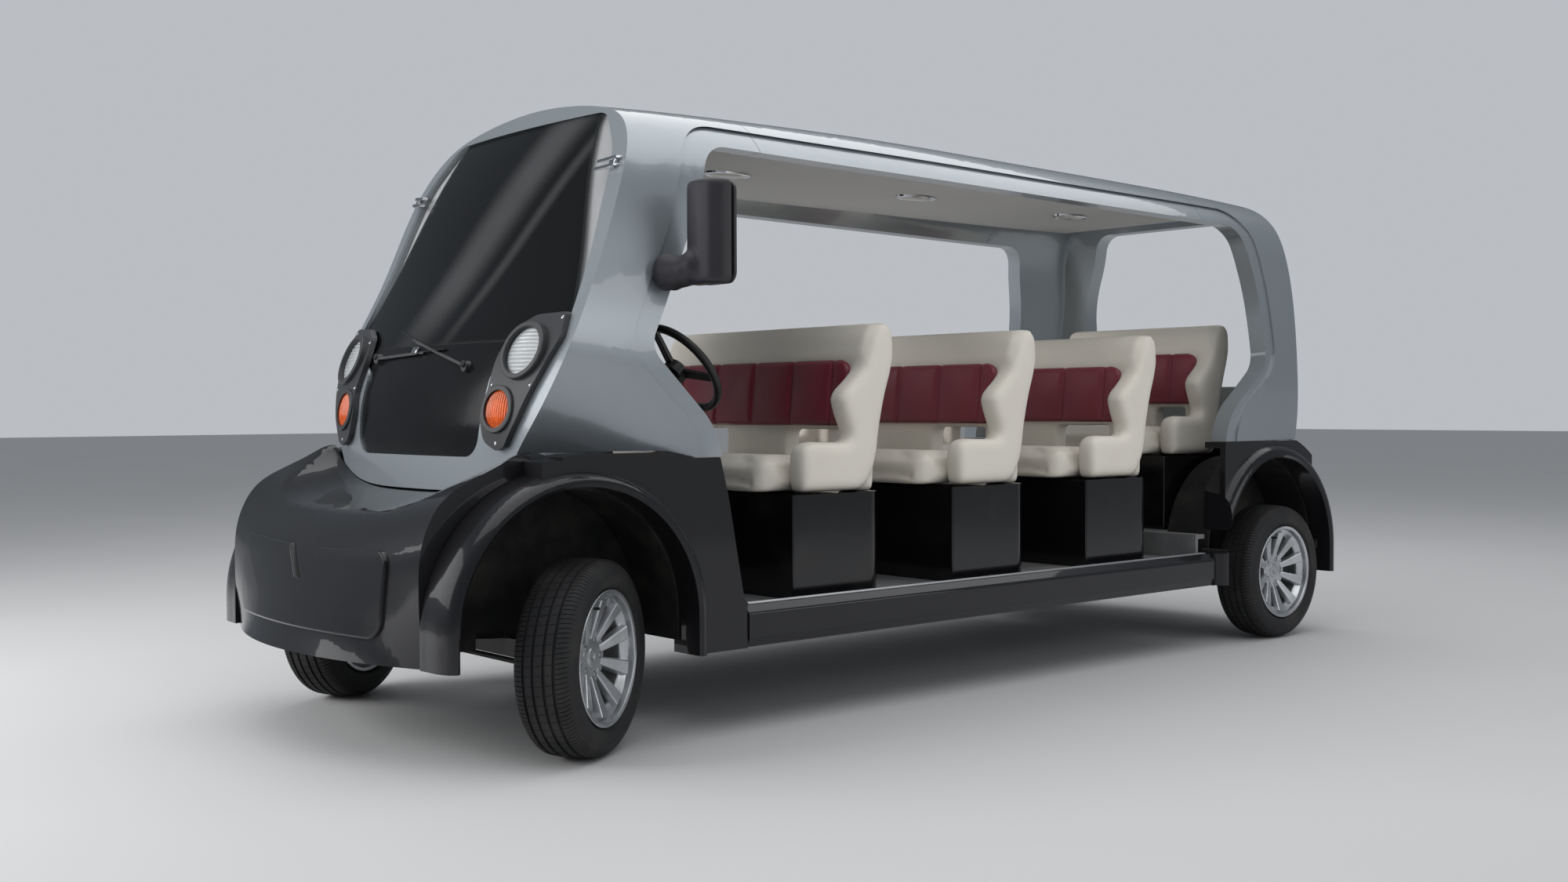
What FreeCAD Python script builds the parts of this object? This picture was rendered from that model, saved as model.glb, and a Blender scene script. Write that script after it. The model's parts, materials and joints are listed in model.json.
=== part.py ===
"""Open electric sightseeing car: four bench rows, silver upper body, graphite lower body.

Frame: +X is the car's left, the front faces -Y, +Z is up. The origin is on the ground, under the
middle of the car's box. Lengths are millimetres. Stations along the car are measured from the
front axle, rearwards, and at() turns a station into a place in the frame.
"""
import math
import os

import FreeCAD
import Part

V = FreeCAD.Vector
X_AXIS, Y_AXIS, Z_AXIS = V(1, 0, 0), V(0, 1, 0), V(0, 0, 1)

# ---- driving dimensions ----
OVERALL_LENGTH = 4730.0
FRONT_OVERHANG = 580.0
REAR_OVERHANG = 500.0
TRACK = 1410.0
BODY_HALF_WIDTH = 765.0      # silver upper body at its widest, half the width
FLARE_HALF_WIDTH = 782.0     # over the wheel arch flares
ROOF_HEIGHT = 2035.0
WAIST_HEIGHT = 868.0         # where silver meets graphite
FLOOR_HEIGHT = 375.0         # walking surface
SILL_BOTTOM = 262.0
TYRE_RADIUS = 291.0
TYRE_WIDTH = 185.0
RIM_RADIUS = 200.0           # over the rim flanges
WALL = 38.0                  # roof and screen surround, skin and liner together
PILLAR = 84.0                # side walls and pillars, box sections across the car
LOWER_WALL = 26.0            # lower body mouldings
GLASS = 6.0
PANEL_GAP = 3.0              # shut line between two mouldings
SEAT_GAP = 0.3               # between a soft piece or a lens and what carries it
STEER_REST = 31.0            # degrees, wheels turned to the left as parked
KINGPIN_OFFSET = 70.0        # kingpin axis inboard of the tyre's middle
STEER_ARM = 108.0
SPINDLE_RADIUS = 17.5
RUNNING_FIT = 0.05
ROWS = 4

WHEELBASE = OVERALL_LENGTH - FRONT_OVERHANG - REAR_OVERHANG
FRONT_AXLE = -OVERALL_LENGTH / 2 + FRONT_OVERHANG
AXLE_HEIGHT = TYRE_RADIUS
WHEEL_X = TRACK / 2
KINGPIN_X = WHEEL_X - KINGPIN_OFFSET
ARCH_RADIUS = TYRE_RADIUS + 118.0
ARCH_HEIGHT = AXLE_HEIGHT + 92.0     # centre of the arch's round part

parts = {}


def at(station):
    return FRONT_AXLE + station


def mirrored(shape):
    return shape.mirror(V(0, 0, 0), X_AXIS)


def both(shape):
    return Part.makeCompound([shape, mirrored(shape)])


def fused(shapes):
    shape = shapes[0].fuse(shapes[1:]) if len(shapes) > 1 else shapes[0]
    return shape.removeSplitter()


def box(x0, x1, y0, y1, z0, z1):
    return Part.makeBox(x1 - x0, y1 - y0, z1 - z0, V(x0, y0, z0))


def rod(start, end, radius):
    return Part.makeCylinder(radius, (end - start).Length, start, end - start)


def outline(corners, place):
    """Closed wire through (u, v, radius) corners; place() turns (u, v) into a point."""
    count = len(corners)
    edges, starts, ends = [], [], []
    for i, (u, v, r) in enumerate(corners):
        here = V(u, v, 0)
        before = V(*corners[i - 1][:2], 0) - here
        after = V(*corners[(i + 1) % count][:2], 0) - here
        if r <= 0:
            starts.append(here)
            ends.append(here)
            edges.append(None)
            continue
        half = before.getAngle(after) / 2
        reach = r / math.tan(half)
        a = here + before.normalize() * reach
        b = here + after.normalize() * reach
        middle = (before + after).normalize()
        m = here + middle * (r / math.sin(half) - r)
        starts.append(a)
        ends.append(b)
        edges.append(Part.Arc(place(a.x, a.y), place(m.x, m.y), place(b.x, b.y)).toShape())
    wire = []
    for i in range(count):
        if edges[i] is not None:
            wire.append(edges[i])
        a, b = ends[i], starts[(i + 1) % count]
        if (b - a).Length > 1e-6:
            wire.append(Part.LineSegment(place(a.x, a.y), place(b.x, b.y)).toShape())
    return Part.Wire(wire)


def prism_x(corners, x0, x1):
    """Outline in (y, z), from x0 to x1."""
    wire = outline(corners, lambda u, v: V(x0, u, v))
    return Part.Face(wire).extrude(V(x1 - x0, 0, 0))


def prism_y(corners, y0, y1):
    """Outline in (x, z), from y0 to y1."""
    wire = outline(corners, lambda u, v: V(u, y0, v))
    return Part.Face(wire).extrude(V(0, y1 - y0, 0))


def prism_z(corners, z0, z1):
    """Outline in (x, y), from z0 to z1."""
    wire = outline(corners, lambda u, v: V(u, v, z0))
    return Part.Face(wire).extrude(V(0, 0, z1 - z0))


def two_sided(half):
    """Corners of a symmetric outline from its +X half, listed from top to bottom."""
    return half + [(-x, z, r) for x, z, r in reversed(half)]


def blend(value, points):
    """Value of a broken line through (where, height) points."""
    if value <= points[0][0]:
        return points[0][1]
    for (a, fa), (b, fb) in zip(points, points[1:]):
        if value <= b:
            return fa + (fb - fa) * (value - a) / (b - a)
    return points[-1][1]


# ---- upper body surfaces ----
# Cross-section, from the waist to the crown: share of the half width against share of the height.
SECTION = [(0.987, 0.0), (0.995, 0.12), (1.0, 0.28), (0.963, 0.52), (0.931, 0.67), (0.880, 0.80),
           (0.812, 0.872), (0.70, 0.93), (0.53, 0.966), (0.28, 0.99)]
SECTION_DROP = 150.0          # how far the section runs on below the waist
STATIONS = [-380, -100, 180, 460, 900, 1500, 2100, 2700, 3300, 3700, 4100, 4500]
WINDSCREEN_PLAN_BULGE = 0.12  # metres of set-back per metre squared of half width
# Middle line of the front face: (set-back from the front axle, height as a share of the roof's).
FRONT_LINE = [(-150, 0.30), (-150, 0.38), (-147, 0.467), (-125, 0.53), (-78, 0.59), (-12, 0.654),
              (60, 0.727), (130, 0.811), (197, 0.885), (250, 0.934), (305, 0.977), (380, 1.02)]
# Middle line of the rear face, measured back from the rear axle.
REAR_LINE = [(405, 0.30), (408, 0.45), (412, 0.59), (398, 0.70), (360, 0.80), (306, 0.87),
             (230, 0.93), (110, 0.985), (0, 1.02)]
REAR_CORNER_SETBACK = 200.0
# Roof line: (station as a share of the wheelbase, drop below the roof's highest point).
ROOF_LINE = [(-0.10, 52), (0.07, 27), (0.22, 8), (0.42, 0), (0.68, 12), (0.96, 32), (1.18, 60)]


def roof_at(station):
    return ROOF_HEIGHT - blend(station / WHEELBASE, ROOF_LINE)


def width_share(station):
    """The body draws in ahead of the side opening and towards the tail."""
    s = station
    ends = [(-400, 0.947), (240, 0.947), (450, 1.0), (WHEELBASE - 350, 1.0),
            (WHEELBASE + 150, 0.965), (WHEELBASE + 600, 0.92)]
    return blend(s, ends)


def cheek(station, share):
    """Share of the width that the cheeks beside the hood lose below the lamps."""
    growth = blend(station, [(-400, 1.5), (450, 0.0)])
    return growth * blend(share, [(-0.13, 0.30), (0.0, 0.22), (0.13, 0.075), (0.25, 0.0)])


def upper_section(station, side, inset, base):
    """Half of the cross-section at a station, from the foot to the crown, as (x, z).

    side is the inset of the flanks, inset that of the roof; they meet over the shoulder.
    """
    wide = BODY_HALF_WIDTH * width_share(station)
    rise = roof_at(station) - WAIST_HEIGHT
    half = [(wide * 0.985 * (1 - cheek(station, -0.13)) - side, base)]
    for share_x, share_z in SECTION:
        top = max(0.0, share_z - 0.8) / 0.2
        half.append(((wide * (1 - cheek(station, share_z)) - side) * share_x
                     - side * (1 - share_x) * (1 - top), WAIST_HEIGHT + share_z * rise - inset * top))
    return half + [(0.0, roof_at(station) - inset)]


def tube(side, inset, base):
    """Closed body through the cross-sections at all stations."""
    grid = []
    for station in STATIONS:
        half = upper_section(station, side, inset, base)
        ring = half + [(-x, z) for x, z in reversed(half[:-1])]
        grid.append([V(x, at(station), z) for x, z in ring])
    surface = Part.BSplineSurface()
    surface.interpolate(grid)
    skin = surface.toShape()
    caps = []
    first, last = grid[0], grid[-1]
    ends = {}
    for edge in skin.Edges:
        ys = [v.Point.y for v in edge.Vertexes]
        if max(ys) - min(ys) < 1:
            ends[round(ys[0])] = edge
    for ring in (first, last):
        base_line = Part.LineSegment(ring[-1], ring[0]).toShape()
        caps.append(Part.Face(Part.Wire([ends[round(ring[0].y)], base_line])))
    sides = [e for e in skin.Edges if abs(e.Vertexes[0].Point.y - e.Vertexes[-1].Point.y) > 1]
    foot = Part.Wire(Part.__sortEdges__([sides[0], Part.LineSegment(first[-1], first[0]).toShape(), sides[1],
                                         Part.LineSegment(last[-1], last[0]).toShape()]))
    caps.append(Part.Face(foot))
    shell = Part.makeShell([skin] + caps)
    shell.sewShape()
    solid = Part.makeSolid(shell)
    if solid.Volume < 0:
        solid.reverse()
    return solid


def front_setback(x, share, inset):
    """Station of the front face at x and at a share of the roof height."""
    line = [(z, y) for y, z in FRONT_LINE]
    return blend(share, line) + WINDSCREEN_PLAN_BULGE * x * x / 1000 + inset


def front_face(inset, shares=None):
    """Front face of the upper body, set back by inset, wider and higher than the body."""
    grid = []
    for y0, share in FRONT_LINE:
        row = []
        for x in (-900, -450, 0, 450, 900):
            y = y0 + WINDSCREEN_PLAN_BULGE * x * x / 1000 + inset
            row.append(V(x, at(y), share * ROOF_HEIGHT))
        grid.append(row)
    surface = Part.BSplineSurface()
    surface.interpolate(grid)
    return surface.toShape()


def behind_front(inset):
    return front_face(inset).extrude(V(0, OVERALL_LENGTH, 0))


def before_rear(inset):
    """All that lies ahead of the rear face, whose corners wrap round to the sides."""
    grid = []
    reach = BODY_HALF_WIDTH - 50
    for back, share in REAR_LINE:
        row = []
        for step in range(-8, 9):
            x = step / 8 * (BODY_HALF_WIDTH + 40)
            y = WHEELBASE + back - REAR_CORNER_SETBACK * (x / reach) ** 6 - inset
            row.append(V(x, at(y), share * ROOF_HEIGHT))
        grid.append(row)
    surface = Part.BSplineSurface()
    surface.interpolate(grid)
    return surface.toShape().extrude(V(0, -OVERALL_LENGTH, 0))


def upper_solid(inset, side=None):
    body = tube(inset if side is None else side, inset, WAIST_HEIGHT - SECTION_DROP)
    return body.common(behind_front(inset)).common(before_rear(inset if side is None else side))


# ---- upper body: front cowl, roof, rear hoop ----
SEAM_FRONT = 770.0                      # station of the joint between cowl and roof
SEAM_REAR = WHEELBASE - 420.0           # and between roof and rear hoop
OPENING_TOP_FRONT = ROOF_HEIGHT - 190.0
OPENING_TOP_REAR = ROOF_HEIGHT - 228.0
FLANGE = 72.0                           # flat band round the side opening
FLANGE_DEPTH = 9.0
SILL_TOP = FLOOR_HEIGHT + 22.0


def side_opening(grow):
    """Corners (y, z, radius) of the side opening, grown outwards by grow."""
    g = grow
    front = [(545 - g, OPENING_TOP_FRONT + g, 120 + g), (425 - 1.1 * g, 1560, 900),
             (262 - 1.2 * g, 1200, 75 + g), (490 - g, 960, 260), (548 - g, 735, 500),
             (612 - g, SILL_TOP - g, 45 + g)]
    tail = WHEELBASE
    rear = [(tail - 396 + g, SILL_TOP - g, 45 + g), (tail - 388 + g, 905, 220),
            (tail - 335 + g, 1010, 220), (tail - 72 + g, 1200, 110 + g), (tail - 84 + g, 1500, 900),
            (tail - 160 + g, OPENING_TOP_REAR + g, 115 + g)]
    return [(at(y), z, r) for y, z, r in front + rear]


REAR_WINDOW = [(355, ROOF_HEIGHT - 165, 130), (515, ROOF_HEIGHT - 480, 500), (520, 1110, 90)]
GLASS_OPENING = [(455, 1947, 100), (585, 1795, 260), (638, 1480, 900), (672, 1262, 30),
                 (405, 1140, 60), (402, 1010, 400), (382, 872, 70)]
SCREEN_SEAM = 1222.0                    # windscreen glass above, black panel below


def scaled_z(corners):
    """Heights written for the standard roof, moved with the waist and the roof."""
    def move(z):
        if z > 1200:
            return WAIST_HEIGHT + (z - 868) * (ROOF_HEIGHT - WAIST_HEIGHT) / (2035 - 868)
        return z + WAIST_HEIGHT - 868
    return [(x * BODY_HALF_WIDTH / 765, move(z), r) for x, z, r in corners]


def mask_foot():
    """Region under the cowl's lower edge, which dips between the hood's shoulders."""
    half = BODY_HALF_WIDTH * 0.78
    points = []
    for step in range(-6, 7):
        points.append(V(half * step / 6, at(-700), WAIST_HEIGHT - 101 + 101 * abs(step / 6) ** 4))
    top = Part.BSplineCurve()
    top.interpolate(points)
    wide, low = BODY_HALF_WIDTH + 120, WAIST_HEIGHT - 400
    corners = [points[-1], V(wide, at(-700), WAIST_HEIGHT), V(wide, at(-700), low),
               V(-wide, at(-700), low), V(-wide, at(-700), WAIST_HEIGHT), points[0]]
    edges = [top.toShape()] + [Part.LineSegment(a, b).toShape() for a, b in zip(corners, corners[1:])]
    dipped = Part.Face(Part.Wire(edges)).extrude(V(0, 1400, 0))
    return dipped.fuse(box(-wide, wide, at(600), at(OVERALL_LENGTH + 800), low, WAIST_HEIGHT))


def fender_tops():
    """Region that the fenders' tops take from the cowl's flanks, a little above the waist."""
    rise = 20
    corners = [(at(-130), WAIST_HEIGHT - 60, 0), (at(-130), WAIST_HEIGHT, 0), (at(-20), WAIST_HEIGHT + rise, 60),
               (at(330), WAIST_HEIGHT + rise, 90), (at(500), WAIST_HEIGHT - 18, 60), (at(700), WAIST_HEIGHT - 18, 0),
               (at(700), WAIST_HEIGHT - 60, 0)]
    region = prism_x(corners, BUMPER_HALF - 60, BODY_HALF_WIDTH + 100)
    return both(region)


def upper_body():
    outer = upper_solid(0)
    shell = outer.cut(upper_solid(WALL, PILLAR))
    shell = shell.cut(mask_foot()).cut(fender_tops())
    wide = BODY_HALF_WIDTH + 200
    opening = prism_x(side_opening(0), -wide, wide)
    band = prism_x(side_opening(FLANGE), -wide, wide).cut(opening)
    recess = outer.cut(upper_solid(FLANGE_DEPTH)).common(band)
    # the band only marks the sides, never the roof above or the hood ahead
    keep = box(-wide, wide, at(150), at(WHEELBASE + 60), WAIST_HEIGHT, ROOF_HEIGHT - 105)
    shell = shell.cut(recess.common(keep)).cut(opening)
    shell = shell.cut(prism_y(two_sided(scaled_z(GLASS_OPENING)), at(-500), at(520)))
    window = prism_y(two_sided(scaled_z(REAR_WINDOW)), at(WHEELBASE - 150), at(WHEELBASE + 900))
    shell = shell.cut(window)
    big = 3000
    cowl = shell.common(box(-wide, wide, at(-big), at(SEAM_FRONT - 1), 0, big))
    roof = shell.common(box(-wide, wide, at(SEAM_FRONT + 1), at(SEAM_REAR - 1), 0, big))
    hoop = shell.common(box(-wide, wide, at(SEAM_REAR + 1), at(SEAM_REAR + big), 0, big))
    return outer, cowl, roof, hoop


def mask_plate(corners, proud, sunk):
    """Plate that follows the front face, between two set-backs, inside an (x, z) outline."""
    cut = prism_y(corners, at(-700), at(700))
    return cut.common(behind_front(-proud)).cut(behind_front(sunk))


# ---- lamps on the mask ----
HEADLAMP = (554.0, 1178.0, 76.0)        # x, z, lens radius
INDICATOR = (499.0, 1012.0, 57.0)
BEZEL = [(470, 1262, 40), (545, 1296, 60), (668, 1300, 14), (688, 1225, 60), (648, 1110, 500),
         (590, 985, 60), (540, 905, 18), (505, 893, 16), (445, 920, 50), (418, 1000, 60),
         (438, 1075, 40), (432, 1180, 120)]
BEZEL_PROUD = 20.0
COLLAR_PROUD = 36.0
COLLAR_WALL = 15.0


def lamp_place(x, z):
    """Placement of a lamp whose axis stands square to the mask at this point."""
    def face(u, v):
        return front_setback(u, v / ROOF_HEIGHT, 0)
    normal = V(face(x + 5, z) - face(x - 5, z), -10, face(x, z + 5) - face(x, z - 5))
    return FreeCAD.Placement(V(x, at(face(x, z)), z), FreeCAD.Rotation(V(0, -1, 0), normal))


def lamp_piece(shape, lamp):
    shape.Placement = lamp_place(lamp[0], lamp[1])
    return shape


def lens(lamp, thick, dome):
    """Round lens: a short drum with a domed front, set down inside the bezel's collar."""
    radius = lamp[2]
    drum = rod(V(0, -4, 0), V(0, -thick - dome, 0), radius)
    edge, top = V(radius + 2, -thick, 0), V(4, -thick - dome, 0)
    arc = Part.Arc(edge, V(radius * 0.6, -thick - dome * 0.66, 0), top).toShape()
    corners = [top, V(4, -thick - dome - 9, 0), V(radius + 2, -thick - dome - 9, 0), edge]
    edges = [arc] + [Part.LineSegment(a, b).toShape() for a, b in zip(corners, corners[1:])]
    return lamp_piece(drum.cut(Part.Face(Part.Wire(edges)).revolve(V(0, 0, 0), Y_AXIS, 360)), lamp)


def lamp_bezel():
    """Plate over the corner of the mask with a round collar for each lamp."""
    plate = mask_plate(scaled_z(BEZEL), BEZEL_PROUD, -SEAT_GAP)
    for lamp, proud in ((HEADLAMP, COLLAR_PROUD), (INDICATOR, COLLAR_PROUD - 6)):
        collar = rod(V(0, -BEZEL_PROUD + 8, 0), V(0, -proud, 0), lamp[2] + COLLAR_WALL)
        collar = collar.makeFillet(4, [e for e in collar.Edges if e.BoundBox.YMax < -proud + 0.1])
        bore = rod(V(0, 90, 0), V(0, -90, 0), lamp[2] + SEAT_GAP)
        plate = plate.fuse(lamp_piece(collar, lamp)).cut(lamp_piece(bore, lamp))
    return plate


# ---- lower body ----
SILL_START = 624.0                       # stations between which the sills run
SILL_END = WHEELBASE - 480.0
GROUND_LINE_FRONT = 300.0
PANEL_PROUD = 11.0                       # how far the bumper's panel stands out
BUMPER_HALF = 640.0
FRONT_HOUSING_X = KINGPIN_X - 205        # inner walls of the wheel housings
REAR_HOUSING_X = KINGPIN_X - 175
FLARE = 52.0                             # width of the arch flares, measured from the wheel
REAR_FLARE = 68.0
SHOULDER = 101.0                         # the rear fender's outline over the arch

# Lines across the nose, from the bumper's foot up and back to the screen: station and height in
# the middle, and how much each grows with the square of the half width (per metre).
NOSE_LINES = [(-592, 0.36, 230, 0.0), (-580, 0.33, 300, 0.0), (-550, 0.24, 360, 0.0),
              (-526, 0.16, 450, 0.0), (-507, 0.11, 530, 0.0), (-486, 0.07, 610, 0.0),
              (-452, 0.03, 664, 0.03), (-398, 0.01, 712, 0.10), (-288, 0.0, 770, 0.12),
              (-186, 0.0, 815, 0.125), (-106, 0.0, 842, 0.125), (0, 0.0, 865, 0.125), (250, 0.0, 890, 0.1)]


def nose_solid(inset):
    """All that lies behind and under the nose's skin."""
    grid = []
    for y0, bow, z0, lift in NOSE_LINES:
        row = []
        for share in (-1.1, -0.55, 0, 0.55, 1.1):
            x = share * BUMPER_HALF
            square = x * x / 1000
            row.append(V(x, at(y0 + bow * square + inset), z0 + WAIST_HEIGHT - 868 + lift * square - inset))
        grid.append(row)
    surface = Part.BSplineSurface()
    surface.interpolate(grid)
    return surface.toShape().extrude(V(0, 1500, 0))


def dish(inset):
    """All that lies over the hood's dish, which falls from the screen surround to the hood's lip."""
    grid = []
    for y0 in (-700, -420, -140, 140):
        row = []
        for step in range(-6, 7):
            x = BUMPER_HALF * 1.2 * step / 6
            z = WAIST_HEIGHT - 101 - PANEL_GAP + 101 * abs(x / (BODY_HALF_WIDTH * 0.78)) ** 4 + 0.2 * (y0 + 140)
            row.append(V(x, at(y0), z - inset))
        grid.append(row)
    surface = Part.BSplineSurface()
    surface.interpolate(grid)
    return surface.toShape().extrude(V(0, 0, 1500))


def arch_profile(x_in, x_out, r_in, r_out):
    """Cross-section of a wheel arch flare, a rounded wing with a lip, as a face in the plane y = 0."""
    lip = 10
    rise = r_out - r_in
    a, b = V(x_in, 0, r_in), V(x_out - lip, 0, r_in)
    c, e, f = V(x_out, 0, r_in + lip), V(x_in + lip, 0, r_out), V(x_in, 0, r_out)
    crown = Part.BSplineCurve()
    crown.interpolate([c, V(x_out - 9, 0, r_in + 0.52 * rise), V(x_out - 34, 0, r_in + 0.79 * rise),
                       V(x_out - 76, 0, r_in + 0.93 * rise), e])
    edges = [Part.LineSegment(a, b).toShape(), Part.LineSegment(b, c).toShape(), crown.toShape(),
             Part.LineSegment(e, f).toShape(), Part.LineSegment(f, a).toShape()]
    return Part.Face(Part.Wire(edges))


def arch_flare(station, r_in, r_out, x_in, front_foot, rear_foot):
    """Flare: half ring over the wheel with a straight leg down on each side."""
    face = arch_profile(x_in, FLARE_HALF_WIDTH, r_in, r_out)
    centre = V(0, 0, 0)
    ring = face.copy()
    ring.rotate(centre, X_AXIS, 90)
    ring = ring.revolve(centre, X_AXIS, -180)
    leg_front = face.copy()
    leg_front.rotate(centre, X_AXIS, 90)
    legs = [ring]
    for turn, foot in ((90, front_foot), (-90, rear_foot)):
        leg = face.copy()
        leg.rotate(centre, X_AXIS, turn)
        legs.append(leg.extrude(V(0, 0, foot - ARCH_HEIGHT)))
    shape = fused(legs)
    shape.translate(V(0, at(station), ARCH_HEIGHT))
    return shape


def wheel_room(station, inboard, grow):
    """Room of both wheel housings of an axle, open outwards and downwards."""
    r = ARCH_RADIUS + grow
    drum = rod(V(inboard, at(station), ARCH_HEIGHT), V(1000, at(station), ARCH_HEIGHT), r)
    return both(drum.fuse(box(inboard, 1000, at(station) - r, at(station) + r, 0, ARCH_HEIGHT)))


def front_bumper():
    """Hood and bumper in one moulding: a dish behind the hood's lip, a raised panel on the face."""
    wide = BUMPER_HALF
    region = box(-wide, wide, at(-700), at(-70), GROUND_LINE_FRONT, 1100)
    outer = nose_solid(0).common(region).cut(dish(0))
    room = box(-wide + LOWER_WALL, wide - LOWER_WALL, at(-700), at(0), 0, 1100)
    shape = outer.cut(nose_solid(LOWER_WALL).common(room).cut(dish(LOWER_WALL)))
    shape = shape.cut(behind_front(-PANEL_GAP)).cut(wheel_room(0, FRONT_HOUSING_X - SEAT_GAP, SEAT_GAP))
    panel = [(-490, 620, 45), (-105, 606, 16), (-22, 508, 12), (22, 508, 12), (105, 606, 16),
             (490, 620, 45), (485, 368, 60), (-485, 368, 60)]
    raised = prism_y(panel, at(-700), at(-300)).common(nose_solid(-PANEL_PROUD)).cut(nose_solid(4))
    face = max(raised.Faces, key=lambda f: -f.CenterOfMass.y + f.Area / 1e3)
    raised = raised.makeFillet(PANEL_PROUD * 0.6, face.Edges)
    return shape.fuse(raised).removeSplitter()


def side_panel(station, ahead, behind):
    """Flat outer panel round a wheel arch, from the sill's level to the waist."""
    x1 = BODY_HALF_WIDTH - 20
    panel = box(x1 - LOWER_WALL, x1, at(station - ahead), at(station + behind), SILL_BOTTOM,
                WAIST_HEIGHT - PANEL_GAP)
    r = ARCH_RADIUS + 20
    hole = rod(V(0, at(station), ARCH_HEIGHT), V(1000, at(station), ARCH_HEIGHT), r)
    return panel.cut(hole).cut(box(0, 1000, at(station) - r, at(station) + r, 0, ARCH_HEIGHT))


def front_fender():
    """Left front fender: flare over the wheel, shelf up to the waist, panel back to the opening."""
    x_in = BUMPER_HALF + PANEL_GAP
    flare = arch_flare(0, ARCH_RADIUS, ARCH_RADIUS + FLARE, x_in, GROUND_LINE_FRONT, SILL_BOTTOM)
    panel = side_panel(0, 0, SILL_START - PANEL_GAP)
    top = fender_tops().common(box(x_in, BODY_HALF_WIDTH - 20, at(-130), at(640), 0, 2000))
    top.translate(V(0, 0, -PANEL_GAP))
    top = top.cut(nose_flank())
    shape = fused([flare, panel, top])
    return shape.cut(prism_x(side_opening(0), 0, 2000))


def nose_flank():
    """Room for the hood's own edge and the mask beside the fender's top."""
    return box(0, BUMPER_HALF + PANEL_GAP, at(-700), at(-60), 0, 2000).fuse(
        behind_front(-PANEL_GAP).common(box(0, 1000, at(-400), at(-60), WAIST_HEIGHT, 2000)))


def rear_fender():
    x_in = BUMPER_HALF + PANEL_GAP
    flare = arch_flare(WHEELBASE, ARCH_RADIUS, ARCH_RADIUS + REAR_FLARE, x_in, SILL_BOTTOM, SILL_BOTTOM)
    panel = side_panel(WHEELBASE, WHEELBASE - SILL_END - PANEL_GAP, 300)
    shelf = box(x_in, BODY_HALF_WIDTH - 20, at(WHEELBASE - 420), at(WHEELBASE + 300),
                WAIST_HEIGHT - PANEL_GAP - LOWER_WALL, WAIST_HEIGHT - PANEL_GAP)
    outline_room = rod(V(0, at(WHEELBASE), ARCH_HEIGHT), V(1000, at(WHEELBASE), ARCH_HEIGHT), ARCH_RADIUS + SHOULDER)
    ahead = box(0, 1000, at(0), at(WHEELBASE), 0, 1000)
    shape = fused([flare, fused([panel, shelf]).common(outline_room.fuse(ahead))])
    return shape.cut(prism_x(side_opening(0), 0, 2000))


# Lines across the tail: set-back behind the rear axle, its bow per metre, and height.
TAIL_LINES = [(REAR_OVERHANG - 30, 0.22, 200), (REAR_OVERHANG - 12, 0.22, 290), (REAR_OVERHANG, 0.22, 430),
              (REAR_OVERHANG - 2, 0.22, 600), (REAR_OVERHANG - 18, 0.24, 740), (REAR_OVERHANG - 60, 0.26, 840),
              (REAR_OVERHANG - 120, 0.28, 900), (REAR_OVERHANG - 200, 0.28, 950)]


def tail_solid(inset):
    grid = []
    for back, bow, z in TAIL_LINES:
        row = [V(x, at(WHEELBASE + back - bow * x * x / 1000 - inset), z) for x in (-900, -600, -300, 0, 300, 600, 900)]
        grid.append(row)
    surface = Part.BSplineSurface()
    surface.interpolate(grid)
    return surface.toShape().extrude(V(0, -1500, 0))


def rear_bumper():
    """Tail moulding between the rear fenders, hollow and open towards the chassis."""
    wide = BUMPER_HALF
    top = WAIST_HEIGHT - PANEL_GAP
    front = at(WHEELBASE + 130)
    outer = tail_solid(0).common(box(-wide, wide, front, front + 900, SILL_BOTTOM + 10, top))
    room = box(-wide + LOWER_WALL, wide - LOWER_WALL, front - 10, front + 900,
               SILL_BOTTOM - 20, top - LOWER_WALL)
    shape = outer.cut(tail_solid(LOWER_WALL).common(room))
    return shape.cut(wheel_room(WHEELBASE, REAR_HOUSING_X - SEAT_GAP, SEAT_GAP))


def sill():
    """Left sill: rounded outer moulding with a tread ledge along the floor's edge."""
    x1 = BODY_HALF_WIDTH - 14
    start, end = at(SILL_START), at(SILL_END)
    corners = [(x1 - 95, SILL_BOTTOM, 0), (x1 - 14, SILL_BOTTOM, 12), (x1, SILL_BOTTOM + 30, 14),
               (x1, SILL_TOP - 26, 16), (x1 - 26, SILL_TOP, 10), (x1 - 60, SILL_TOP, 6),
               (x1 - 60, FLOOR_HEIGHT - 18, 0), (x1 - 95, FLOOR_HEIGHT - 18, 0)]
    bar = prism_y(corners, start, end)
    return bar


def wheel_housing(station, inboard, x_out):
    """Round inner liner over a wheel, with its wall towards the chassis."""
    centre = at(station)
    foot = SILL_BOTTOM + 40
    r = ARCH_RADIUS - SEAT_GAP
    wall = 8

    def bell(x0, x1, radius, low):
        drum = rod(V(x0, centre, ARCH_HEIGHT), V(x1, centre, ARCH_HEIGHT), radius)
        top = drum.common(box(x0, x1, centre - radius, centre + radius, ARCH_HEIGHT, ARCH_HEIGHT + radius))
        return top.fuse(box(x0, x1, centre - radius, centre + radius, low, ARCH_HEIGHT))
    shape = bell(inboard, x_out, r, foot).cut(bell(inboard + wall, x_out + 1, r - wall, foot - 1))
    # window in the inner wall for the axle to work up and down
    slot = box(inboard - 1, inboard + wall + 1, centre - 170, centre + 170, foot - 1, AXLE_HEIGHT + 60)
    return shape.cut(slot).removeSplitter()


# ---- chassis ----
RAIL_X = 355.0
RAIL_WIDTH = 50.0
RAIL_DEPTH = 60.0
RAIL_LOW = FLOOR_HEIGHT - 18 - RAIL_DEPTH - SEAT_GAP
KICK = 100.0                             # the rails rise this much over each axle


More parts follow.
